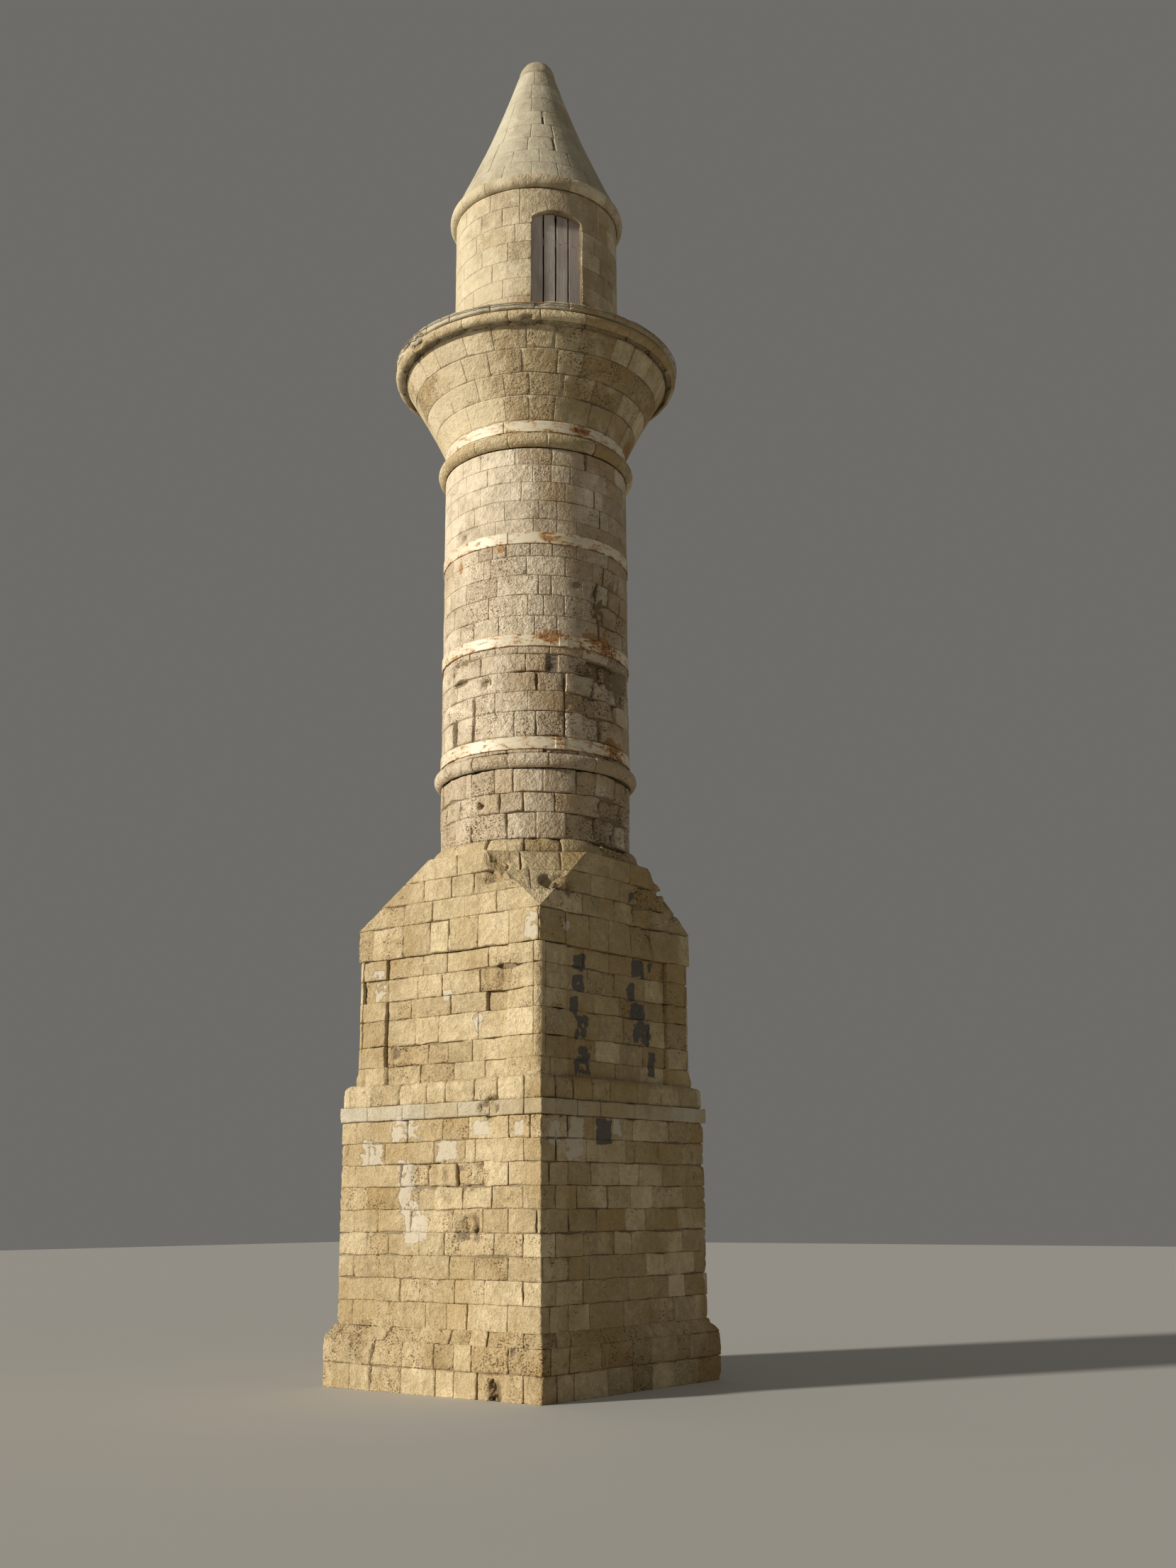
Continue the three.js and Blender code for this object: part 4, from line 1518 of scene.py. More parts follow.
@cache
def weathered_stone() -> bpy.types.NodeTree:
    """Build the effect of old limestone: its grain, pits, stains and coats, with painted shade in the pits
    and cavities and a wash that is partly painted light.

    Returns:
        The node group.
    """
    graph = Effect("weathered_stone", {
        "Light": (0.6, 0.5, 0.3), "Middle": (0.4, 0.3, 0.2), "Ochre": (0.4, 0.2, 0.1),
        "Coat": (0.6, 0.6, 0.5), "Plaster": (0.5, 0.5, 0.5), "Pitting": 0.5, "Relief": 1.0, "Grime": 0.3,
    })
    light, middle, ochre, coat, plaster, pitting, relief, grime = graph.given
    plain, runs, beds = graph.stretched(1, 1, 1), graph.stretched(1, 1, 0.10), graph.stretched(1, 1, 1.5)
    drift = graph.node("TexNoise", "Color", {"Vector": plain, "Scale": 26.0, "Detail": 2.0})
    warped = graph.node("VectorMath", 0, {0: drift, 1: (0.022,) * 3, 2: beds}, operation="MULTIPLY_ADD")
    bright, warm, worn, wash = graph.attribute(TINT)
    plastered, residue, rust, _ = graph.attribute(WEATHER)
    mottle = graph.noise(plain, 5.0, 5.0, 0.6)
    bloom = graph.noise(plain, 1.6, 4.0, 0.3)
    knobs = graph.noise(plain, 15.0, 4.0, 0.4)
    crumbs = graph.noise(plain, 42.0, 4.0, 0.3)
    grain = graph.noise(plain, 110.0, 4.0)

    level = bright + mottle.around(0.9) + knobs.around(1.2)
    level = graph.math("ADD", level, crumbs.around(1.2), clamp=True)
    colour = graph.blend(level, middle, light)
    colour = graph.blend((warm + bloom.around(1.3)).step(0.25, 1.05, 0.0, 0.9), colour, ochre)

    patchy = worn * 0.75 + graph.noise(plain, 6.0, 4.0, 0.8).around(2.2)
    patchy = (patchy + pitting).step(0.45, 1.15)
    deep = (graph.cells(warped, 32.0) + crumbs.around(0.9)).step(0.38, 0.24) * patchy
    shallow = graph.cells(warped, 92.0).step(0.46, 0.18) * crumbs.step(0.44, 0.60, 0.10, 0.8)
    combs = graph.cells(warped, 21.0).step(0.40, 0.16) * (worn + knobs.around(1.6)).step(0.70, 1.15)
    # The wash is partly a real pale coat and partly painted light, thicker on the sunlit side.
    washed_and_lit = (wash + mottle.around(1.2)).step(0.15, 0.75)
    holes = graph.math("MAXIMUM", deep, shallow * 0.55, clamp=True) * (1.0 - washed_and_lit * 0.75)
    darkened = (
        (grain.step(0.25, 0.75, 0.0, 0.40), (0.78, 0.72, 0.60)),
        (worn.step(0.30, 1.0) * crumbs.step(0.3, 0.7, 0.2, 1.0) * 0.45, (0.66, 0.55, 0.40)),
        (graph.noise(runs, 4.5, 4.0).step(0.50, 0.78) * grime, (0.55, 0.50, 0.42)),
        (graph.noise(plain, 2.3, 5.0, 0.8).step(0.50, 0.72) * grime, (0.68, 0.66, 0.62)),
        # Painted shade: the cavities and pits are painted dark brown, as shade inside them.
        (combs * 0.45, (0.42, 0.31, 0.20)),
        (holes * 0.88, (0.28, 0.20, 0.13)),
    )
    for amount, tone in darkened:
        colour = graph.blend(amount, colour, tone, "MULTIPLY")

    ragged = graph.noise(plain, 9.0, 6.0, 0.5).around(1.0) + knobs.around(0.4)
    plastered, residue, rust = (
        (amount + ragged * spread).step(0.44, 0.54) * amount.step(0.02, 0.10)
        for amount, spread in ((plastered, 3.0), (residue, 2.4), (rust, 1.6)))
    plastered = plastered * (1.0 - deep * 0.8)
    coats = (
        (washed_and_lit * 0.45, coat), (plastered * 0.75, plaster), (residue * 0.88, (0.105, 0.105, 0.098)),
        (rust * 0.75, (0.42, 0.205, 0.055)),
    )
    for amount, tone in coats:
        colour = graph.blend(amount, colour, tone)

    height = grain * 0.0022
    for part, amount in ((crumbs, 0.015), (knobs, 0.026), (holes, -0.009), (combs, -0.012)):
        height = height + part * amount
    covered = graph.math("MAXIMUM", plastered, washed_and_lit * 0.7)
    height = height * (1.0 - covered * 0.6) + covered * 0.0035 - residue * 0.003
    return graph.give(Color=colour, Roughness=0.84 + crumbs * 0.14 - residue * 0.12, Height=height * relief)


@cache
def rusting() -> bpy.types.NodeTree:
    """Build the effect of metal that rusts in spots, runs and along its edges.

    Returns:
        The node group.
    """
    graph = Effect("rusting", {"Clean": (0.7, 0.6, 0.4), "Amount": 0.3})
    clean, given = graph.given
    plain = graph.stretched(1, 1, 1)
    rim, spots = graph.attribute(TINT)[2], graph.attribute(WEATHER)[Stain.RUST.value]
    streaks = graph.noise(graph.stretched(0.7, 0.7, 1.6), 12.0, 6.0, 0.8)
    fleck = graph.noise(plain, 46.0, 6.0, 0.8)
    amount = streaks * 0.70 + fleck * 0.30 + spots * 0.23 + rim * 0.14 + given * 0.25
    mask = amount.step(0.60, 0.74)
    depth = graph.noise(plain, 26.0, 6.0, 0.7).step(0.40, 0.60)
    tone = graph.blend(depth, (0.19, 0.078, 0.030), (0.50, 0.25, 0.085))
    aged = graph.blend(streaks.step(0.40, 0.75, 0.0, 0.18), clean, (0.50, 0.42, 0.28))
    aged = graph.blend(amount.step(0.52, 0.68) * 0.70, aged, (0.62, 0.39, 0.17))
    return graph.give(
        Color=graph.blend(mask, aged, tone), Roughness=mask.step(0.0, 1.0, 0.48, 0.92), Mask=mask,
        Height=mask * fleck * 0.0016 + streaks * 0.0006)


@dataclass(frozen=True)
class Finish:
    """A finish of the tower or its floor."""

    name: str

    def looks(self, graph: Graph) -> dict[str, Value]:
        """Give what feeds the shader's inputs, and the Height of the bumps."""
        raise NotImplementedError

    @cache
    def material(self) -> bpy.types.Material:
        """Make the material at its first use.

        Returns:
            The material, the same one each time.
        """
        material = bpy.data.materials.new(self.name)
        material.use_nodes = True
        graph = Graph(material.node_tree)
        looks = self.looks(graph)
        if "Height" in looks:
            bump = {"Height": looks.pop("Height"), "Distance": 1.0, "Strength": 1.0}
            looks["Normal"] = graph.node("Bump", 0, bump)
        for name, value in looks.items():
            graph.feed(material.node_tree.nodes["Principled BSDF"].inputs[name], value)
        return material


@dataclass(frozen=True)
class StoneFinish(Finish):
    """Old limestone, bare or coated."""

    light: Colour
    middle: Colour
    ochre: Colour
    coat: Colour = (0.86, 0.74, 0.52)
    plaster: Colour = (0.60, 0.54, 0.45)
    pitting: float = 0.5
    relief: float = 1.0
    grime: float = 0.35

    def looks(self, graph: Graph) -> dict[str, Value]:
        """Give the stone's colour, roughness and bumps."""
        inputs = {field.name.capitalize(): getattr(self, field.name) for field in fields(self)[1:]}
        return graph.effect(weathered_stone(), inputs) | {"Specular IOR Level": 0.25}


@dataclass(frozen=True)
class MetalFinish(Finish):
    """Painted or bare metal with rust."""

    clean: Colour
    rust: float
    metallic: float = 0.0

    def looks(self, graph: Graph) -> dict[str, Value]:
        """Give the metal's looks, and where it shows bare.

        Args:
            graph: The material's graph.

        Returns:
            What feeds the shader's inputs.
        """
        metal = graph.effect(rusting(), {"Clean": self.clean, "Amount": self.rust})
        if self.metallic:
            metal["Metallic"] = (1.0 - metal["Base Color"].beside("Mask")) * self.metallic
        return metal


@dataclass(frozen=True)
class BoardFinish(Finish):
    """Weathered upright boards: grey-brown wood with a violet cast."""

    pale: Colour
    dark: Colour
    rosy: Colour

    def looks(self, graph: Graph) -> dict[str, Value]:
        """Give the wood's grain, with its clouds of grey and its open fibres.

        Args:
            graph: The material's graph.

        Returns:
            Its colour, roughness and bumps.
        """
        along = graph.stretched(1, 1, 0.04)
        bright, warm, *_ = graph.attribute(TINT)
        rings = graph.noise(along, 46.0, 6.0, 1.2)
        fibre = graph.noise(along, 210.0, 4.0, 0.3)
        cloud = graph.noise(graph.stretched(1, 1, 0.30), 5.0, 4.0, 0.6)
        colour = graph.blend((rings * 0.75 + bright * 0.55).step(0.35, 0.90), self.dark, self.pale)
        colour = graph.blend(warm * 0.8, colour, self.rosy)
        colour = graph.blend(cloud.step(0.45, 0.75, 0.0, 0.5), colour, (0.32, 0.28, 0.25))
        colour = graph.blend(fibre.step(0.55, 0.80, 0.0, 0.55), colour, (0.17, 0.14, 0.12))
        return {"Base Color": colour, "Roughness": cloud.step(0.2, 0.8, 0.78, 0.95),
                "Height": rings * 0.0022 + fibre * 0.0014}


@dataclass(frozen=True)
class FloorFinish(Finish):
    """The studio's pale floor."""

    tone: Colour

    def looks(self, graph: Graph) -> dict[str, Value]:
        """Give the floor's faint clouds.

        Args:
            graph: The material's graph.

        Returns:
            What feeds the shader's inputs.
        """
        cloud = graph.noise(graph.stretched(1, 1, 1), 0.6, 3.0)
        faint = tuple(0.97 * part for part in self.tone)
        return {"Base Color": graph.blend(cloud, self.tone, faint), "Roughness": 0.9}


class Look(Enum):
    """Every finish of the tower, and the floor's."""

    ASHLAR = StoneFinish(
        "yellow_ashlar", light=(0.87, 0.725, 0.47), middle=(0.49, 0.38, 0.215), ochre=(0.48, 0.335, 0.15),
        plaster=(0.62, 0.555, 0.44), pitting=0.27, relief=1.2)
    SHAFT = StoneFinish(
        "pitted_shaft_stone", light=(0.95, 0.825, 0.625), middle=(0.55, 0.445, 0.315),
        ochre=(0.53, 0.385, 0.22), coat=(0.85, 0.75, 0.575), pitting=0.46, relief=1.25)
    LANTERN = StoneFinish(
        "smooth_lantern_stone", light=(0.85, 0.735, 0.515), middle=(0.50, 0.405, 0.26),
        ochre=(0.48, 0.36, 0.19), coat=(0.78, 0.68, 0.48), pitting=0.32, relief=0.85)
    PALE = StoneFinish(
        "pale_worn_stone", light=(0.66, 0.60, 0.47), middle=(0.52, 0.45, 0.31), ochre=(0.52, 0.40, 0.22),
        coat=(0.60, 0.57, 0.50), pitting=0.05, relief=0.8, grime=0.4)
    RENDER = StoneFinish(
        "grey_cream_render", light=(0.66, 0.60, 0.45), middle=(0.46, 0.41, 0.30), ochre=(0.48, 0.38, 0.23),
        coat=(0.72, 0.66, 0.50), pitting=-0.10, relief=0.35, grime=0.5)
    MORTAR = StoneFinish(
        "old_mortar", light=(0.42, 0.35, 0.24), middle=(0.30, 0.235, 0.15), ochre=(0.27, 0.18, 0.09),
        coat=(0.92, 0.84, 0.66), pitting=0.10, relief=0.8, grime=0.5)
    PAINT = MetalFinish("cream_strap_paint", clean=(0.79, 0.71, 0.53), rust=0.16)
    WIRE = MetalFinish("dark_rim_wire", clean=(0.20, 0.18, 0.15), rust=0.30, metallic=0.4)
    MESH = MetalFinish("woven_grey_wire", clean=(0.62, 0.59, 0.53), rust=0.10, metallic=0.2)
    BOARDS = BoardFinish(
        "weathered_boards", pale=(0.70, 0.63, 0.56), dark=(0.34, 0.30, 0.265), rosy=(0.52, 0.41, 0.345))
    FLOOR = FloorFinish("pale_floor", tone=(0.60, 0.585, 0.55))

    def material(self) -> bpy.types.Material:
        """Give the finish's material."""
        return self.value.material()


@dataclass
class Assembly:
    """A part of the tower that builds its own pieces. Its well is half the width of the hollow inside."""

    weather: Weather
    well: float = 0.75

    def hole(self, half: float, bearing: float, width: float, low: float, high: float) -> Opening:
        """Turn the real size of a hole in a round wall into its place there.

        Args:
            half: Radius of the wall.
            bearing: Bearing of its middle.
            width: Its width in metres.
            low: Its foot along v.
            high: Its head along v.

        Returns:
            The hole, as wide behind the stones as in front.
        """
        spread = math.asin(width / 2 / half)
        flare = math.asin(width / 2 / (half - Masonry.depth)) - spread
        return Opening(bearing - spread, bearing + spread, low, high, flare)

    def ring(
        self, masonry: Masonry, surface: Wall, node: str, levels: Sequence[float] = (), name: str = "",
        openings: Sequence[Opening] = (), holes: Sequence[Opening] = (), extra: Sequence[Stone] = (),
        cracks: Sequence[Crack] = (), face: Look = Look.ASHLAR, well: float = 0.0,
    ) -> None:
        """Lay one or more round courses.

        Args:
            masonry: How the stones are cut and laid.
            surface: Where they lie.
            node: The solid that the piece stands for.
            levels: Beds of the courses along v, with the top, if more than one.
            name: Name of the piece, if not the solid's with "_stones".
            openings: Holes that the stones stop at.
            holes: Holes through the mortar core, if not the same.
            extra: Stones with a shape of their own.
            cracks: Joints that have opened.
            face: The stones' finish.
            well: Half the width of the hollow inside, if not the assembly's own.
        """
        body = Body()
        levels = levels or (0.0, surface.length)
        metres = surface.metres(sum(levels[:2]) / 2)
        stones = masonry.courses(levels, 0.0, surface.period, metres, openings, cracks=cracks)
        masonry.lay(body, surface, [*stones, *extra], self.weather)
        slots = [crack.through(surface.metres(crack.low)) for crack in cracks]
        masonry.core(body, surface, well or self.well, self.weather, [*(holes or openings), *slots])
        body.build(name or f"{node}_stones", (node,), looks=(face, Look.MORTAR))


@dataclass
class SquareBase(Assembly):
    """The square base: plinth, walls, string and splay courses, panels, corner shafts and broaches."""

    plinth_beds: Pair = (0.0, 0.245)
    lower_courses: int = 9
    course_height: float = 0.2
    splay_face_top: float = 2.93
    upper_beds: tuple[float, ...] = (3.02, 3.19, 3.405, 3.68, 3.88, 4.12, 4.33, 4.67)
    panel_edge: float = 0.44
    panel_depth: float = 0.040
    panel_joint: float = 0.16
    notch: float = 0.095
    shaft_radius: float = 0.090
    stop_foot: float = 3.03
    broach_beds: tuple[float, ...] = (4.67, 4.89, 5.115, 5.34)
    wide_broach_end: float = 0.25
    quoins: Pair = (0.22, 0.41)
    tight_joint: float = 0.15
    least_share: float = 0.03
    core_step: float = 0.07
    overlap: float = 0.02

    @property
    def middle(self) -> Pair:
        """Middle of the base's plan. The shaft stands a little to its right and behind it."""
        return Span.of("string_course").middle

    def build(self) -> None:
        """Build every piece of the base."""
        self.plinth()
        self.lower_wall()
        self.string_course()
        self.splay_course()
        self.upper_wall()
        self.corner_shafts()
        self.broach_stage()

    def quoin_joints(self, half: float, first: int = 0) -> Callable[[int], list[float]]:
        """Give the joints beside the corner stones, long and short by turns.

        Args:
            half: Half width that u is measured at.
            first: Number of the lowest course.

        Returns:
            For a course's number, the places of its joints.
        """
        def joints(row: int) -> list[float]:
            """Give the joints of one course.

            Args:
                row: Its number.

            Returns:
                Their places.
            """
            found = []
            for corner in range(4):
                before, after = self.quoins[:: 1 if (row + first + corner) % 2 else -1]
                found += [corner * 2 * half + after, (corner + 1) * 2 * half - before]
            return found
        return joints

    def course_piece(
        self, profile: Profile, courses: Sequence[tuple[Masonry, Sequence[float], float]], name: str,
        nodes: Sequence[str], slot: str = "ashlar", face: Look = Look.ASHLAR,
    ) -> None:
        """Lay courses all the way round the square.

        Args:
            profile: How the face rises.
            courses: How the stones are cut, the beds along v with the top, and the joint under the lowest
                course as a share of the others.
            name: Name of the piece.
            nodes: The solids that it stands for.
            slot: Handed on to Body.build, which does not use it.
            face: The stones' finish.
        """
        half = float(profile.points[0, 0])
        surface = Wall(Square(half), profile, self.middle)
        body = Body()
        for masonry, levels, first_gap in courses:
            joints = self.quoin_joints(half, round(levels[-1] / self.course_height))
            stones = masonry.courses(levels, 0.0, surface.period, 1.0, fixed=joints, first_gap=first_gap)
            masonry.lay(body, surface, stones, self.weather)
        courses[0][0].core(body, surface, self.well, self.weather)
        body.build(name, nodes, slot, (face, Look.MORTAR))

    def plinth(self) -> None:
        """Lay the plinth: two upright courses and a sloped one."""
        span, wall = Span.of(*four("plinth")), Span.of(*four("lower_wall"))
        bed, face_top = self.plinth_beds[1], 2 * self.plinth_beds[1]
        profile = Profile([(span.half, 0.0), (span.half, face_top), (wall.half, span.high)])
        worn = Masonry(13, lengths=(0.24, 0.60), joint=0.004, mortar=(0.026, 0.042), arris=0.008, rough=0.010,
                       uneven=0.006, chip=0.018, pits=0.85)
        foot = Masonry(11, lengths=(0.20, 0.52), joint=0.012, mortar=worn.mortar, arris=0.010, rough=0.008,
                       chip=0.018, pits=0.65)
        slope = (face_top, profile.length)
        courses = (foot, self.plinth_beds, 0.0), (worn, (bed, face_top), 1.0), (worn, slope, 1.0)
        self.course_piece(profile, courses, "plinth", four("plinth"))

    def lower_wall(self) -> None:
        """Lay the lower wall in nine even courses."""
        span = Span.of(*four("lower_wall"))
        profile = upright(span.half, span.low, span.high)
        masonry = Masonry(
            23, lengths=(0.20, 0.60), mortar=(0.022, 0.034), arris=0.006, rough=0.007, uneven=0.006,
            waver=0.007, pits=0.55, warmth=0.52, spread=1.2, smear=0.15)
        levels = np.linspace(0, profile.length, self.lower_courses + 1).tolist()
        levels[0] = -self.overlap
        self.course_piece(profile, ((masonry, levels, 0.0),), "lower_wall", four("lower_wall"))

    def string_course(self) -> None:
        """Lay the flat band of pale stone."""
        span = Span.of("string_course")
        profile = upright(span.half, span.low, span.high)
        masonry = Masonry(31, lengths=(0.34, 0.60), joint=0.005, mortar=(0.012, 0.020), rough=0.004,
                          uneven=0.004, waver=0.003, pits=0.25)
        self.course_piece(profile, ((masonry, (0.0, profile.length), 1.0),), "string_course_stones",
                          ["string_course"], "pale_stone", Look.PALE)

    def splay_course(self) -> None:
        """Lay the course that rounds in at its top."""
        span, wall = Span.of("splay_course"), Span.of(*four("upper_wall"))
        rounded = quarter_round(wall.half, span.half, self.splay_face_top, span.high, 5)
        profile = Profile([(span.half, span.low), *rounded])
        masonry = Masonry(37, lengths=(0.26, 0.50), joint=0.007, arris=0.010, pits=0.45, warmth=0.38,
                          wash=0.08)
        self.course_piece(profile, ((masonry, (0.0, profile.length), 1.0),), "splay_course_stones",
                          ["splay_course"])

    def stop(self, points: Array) -> Array:
        """Give the depth of the pointed stops that the corner shafts rise from.

        Args:
            points: Places on the wall's face.

        Returns:
            How far behind the face the stop lies at each.
        """
        half, start = Span.of("broach_stage").half, self.upper_beds[1]
        radius = self.shaft_radius * np.clip((points[:, 2] - self.stop_foot) / (start - self.stop_foot), 0, 1)
        corner = half - np.abs(points[:, :2] - np.array(self.middle)).min(axis=1)
        inside = (corner < radius) & (points[:, 2] < start)
        arc = (corner + np.sqrt(np.maximum(2 * radius**2 - corner**2, 0))) / 2
        return np.where(inside, radius - arc, 0.0)

    def recess(self, points: Array) -> Array:
        """Give the extra depth of the mortar core behind the panels and the corner shafts."""
        return np.where(points[:, 2] < self.upper_beds[-2] + self.core_step, self.panel_depth, 0.0)

    def beyond(self, turn: Matrix, place: Sequence[float]) -> Vector:
        """Give a place that is turned about the base's middle."""
        return Vector((*self.middle, 0)) + turn @ Vector(place)

    def side(self, turn: Matrix, half: float, low: float) -> Facet:
        """Give the plane of the side that a turn brings to the front, with v from a level up."""
        return Facet(self.beyond(turn, (0, -half, low)), turn @ Vector((1, 0, 0)), Vector((0, 0, 1)))

    def upper_wall(self) -> None:
        """Lay the upper wall: a recessed panel on each side, between plain corners."""
        span, beds = Span.of(*four("upper_wall")), self.upper_beds
        inner, outer = span.half - self.panel_edge, span.half - self.notch
        foot = beds[0] - self.overlap
        masonry = Masonry(41, lengths=(0.26, 0.50), joint=0.007, arris=0.006, spread=1.2)
        body = Body()
        square = Wall(Square(span.half), upright(span.half, 0.0, span.high), self.middle)
        corners = [
            Stone(foot, beds[1], (corner * 2 * span.half + left,) * 2, (corner * 2 * span.half + right,) * 2)
            for corner in range(4)
            for left, right in itertools.pairwise((-self.panel_edge, self.panel_joint, self.panel_edge))
        ]
        top = masonry.courses(beds[-2:], 0.0, square.period, 1.0, fixed=self.quoin_joints(span.half))
        masonry.lay(body, square, [*corners, *top], self.weather, self.stop)
        for index in range(4):
            flat = self.side(Matrix.Rotation(index * QUARTER, 3, "Z"), span.half, 0)
            field_work = Masonry(47 + index, lengths=(0.26, 0.50), joint=0.007, arris=0.006, waver=0.007,
                                 pits=0.60, spread=1.2)
            stones = field_work.courses(
                (foot, *beds[1:-1]), -inner, inner, 1.0, closed=False, sink=self.panel_depth)
            for start, end in ((-outer, -inner), (inner, outer)):
                stones += masonry.courses(beds[1:-1], start, end, 1.0, closed=False)
            field_work.lay(body, flat, stones, self.weather)
        wall = Wall(Square(span.half), upright(span.half, span.low, span.high), self.middle)
        masonry.core(body, wall, self.well, self.weather, recess=self.recess, step=self.core_step)
        body.build("upper_wall", four("upper_wall"))

    def corner_shafts(self) -> None:
        """Build the quarter-round shafts in drums, one at each corner."""
        reach, beds = Span.of("broach_stage").half - self.notch, self.upper_beds[1:-1]
        for index, side in enumerate(SIDES):
            start = index * QUARTER
            x = self.middle[0] + math.copysign(reach, math.sin(start + QUARTER / 2))
            y = self.middle[1] + math.copysign(reach, -math.cos(start + QUARTER / 2))
            masonry = Masonry(61 + index, arris=0.006, rough=0.005, grid=0.020, depth=0.055, joint=0.006,
                              uneven=0.003, pits=0.45, wash=0.10, warmth=0.45)
            surface = Wall(Circle(), upright(self.shaft_radius, beds[0], beds[-1]), (x, y))
            body = Body()
            stones = [Stone(low - beds[0], high - beds[0], (start,) * 2, (start + QUARTER,) * 2)
                      for low, high in itertools.pairwise(beds)]
            masonry.lay(body, surface, stones, self.weather)
            body.build(f"corner_stones_{side}", [f"corner_shaft_{side}"])

    def slanted(self, joints: Sequence[float], v: Array, feet: Pair) -> list[Stone]:
        """Cut a course whose outer ends slant.

        Args:
            joints: Joints at its head, with both ends.
            v: Its foot and head.
            feet: Where its outer ends stand at its foot.

        Returns:
            The stones.
        """
        stones = []
        for place, (left, right) in enumerate(itertools.pairwise(joints)):
            first, last = place == 0, place == len(joints) - 2
            ends = (feet[0] if first else left, left), (feet[1] if last else right, right)
            gaps = (self.tight_joint if first else 1.0, self.tight_joint if last else 1.0, 1.0, 1.0)
            stones.append(Stone(float(v[0]), float(v[1]), *ends, gaps))
        return stones

    def broach_stage(self) -> None:
        """Lay the stage where triangular broaches turn the square into an octagon."""
        span = Span.of("broach_stage")
        octagon = span.half * math.tan(QUARTER / 4)
        ends = (octagon, octagon, octagon, self.wide_broach_end)
        shape = Broach(span.half, span.low, span.rise, self.middle, ends)
        masonry = Masonry(71, lengths=(0.28, 0.50), joint=0.007, depth=0.20, warmth=0.46)
        rng = np.random.default_rng(masonry.seed)
        body = Body()
        for index in range(4):
            turn = Matrix.Rotation(index * QUARTER, 3, "Z")
            cut = (span.half - ends[index]) / 2
            up = Vector((-cut, cut, span.rise))
            apex = self.beyond(turn, (span.half, -span.half, span.low))
            broach = Facet(apex, turn @ Vector((1, 1, 0)).normalized(), turn @ up.normalized())
            stones: list[Stone] = []
            sloped: list[Stone] = []
            below: list[float] = []
            for low, high in itertools.pairwise(self.broach_beds):
                v = np.array([low - span.low, high - span.low])
                left, right = -shape.spread(v, index - 1), shape.spread(v, index)
                below = masonry.breaks(left[1], right[1], 1.0, rng, below)
                stones += self.slanted(below, v, (left[0], right[0]))
                share = np.maximum(v / span.rise, self.least_share)
                wide = cut * math.sqrt(2) * share
                parts = [-wide[1], wide[1]]
                if low > self.broach_beds[0]:
                    parts = masonry.breaks(*parts, 1.0, rng)
                sloped += self.slanted(parts, share * up.length, (-wide[0], wide[0]))
            masonry.lay(body, self.side(turn, span.half, span.low), stones, self.weather)
            masonry.lay(body, broach, sloped, self.weather)
        masonry.core(body, shape, self.well, self.weather)
        body.build("broach_stage_stones", ["broach_stage"])


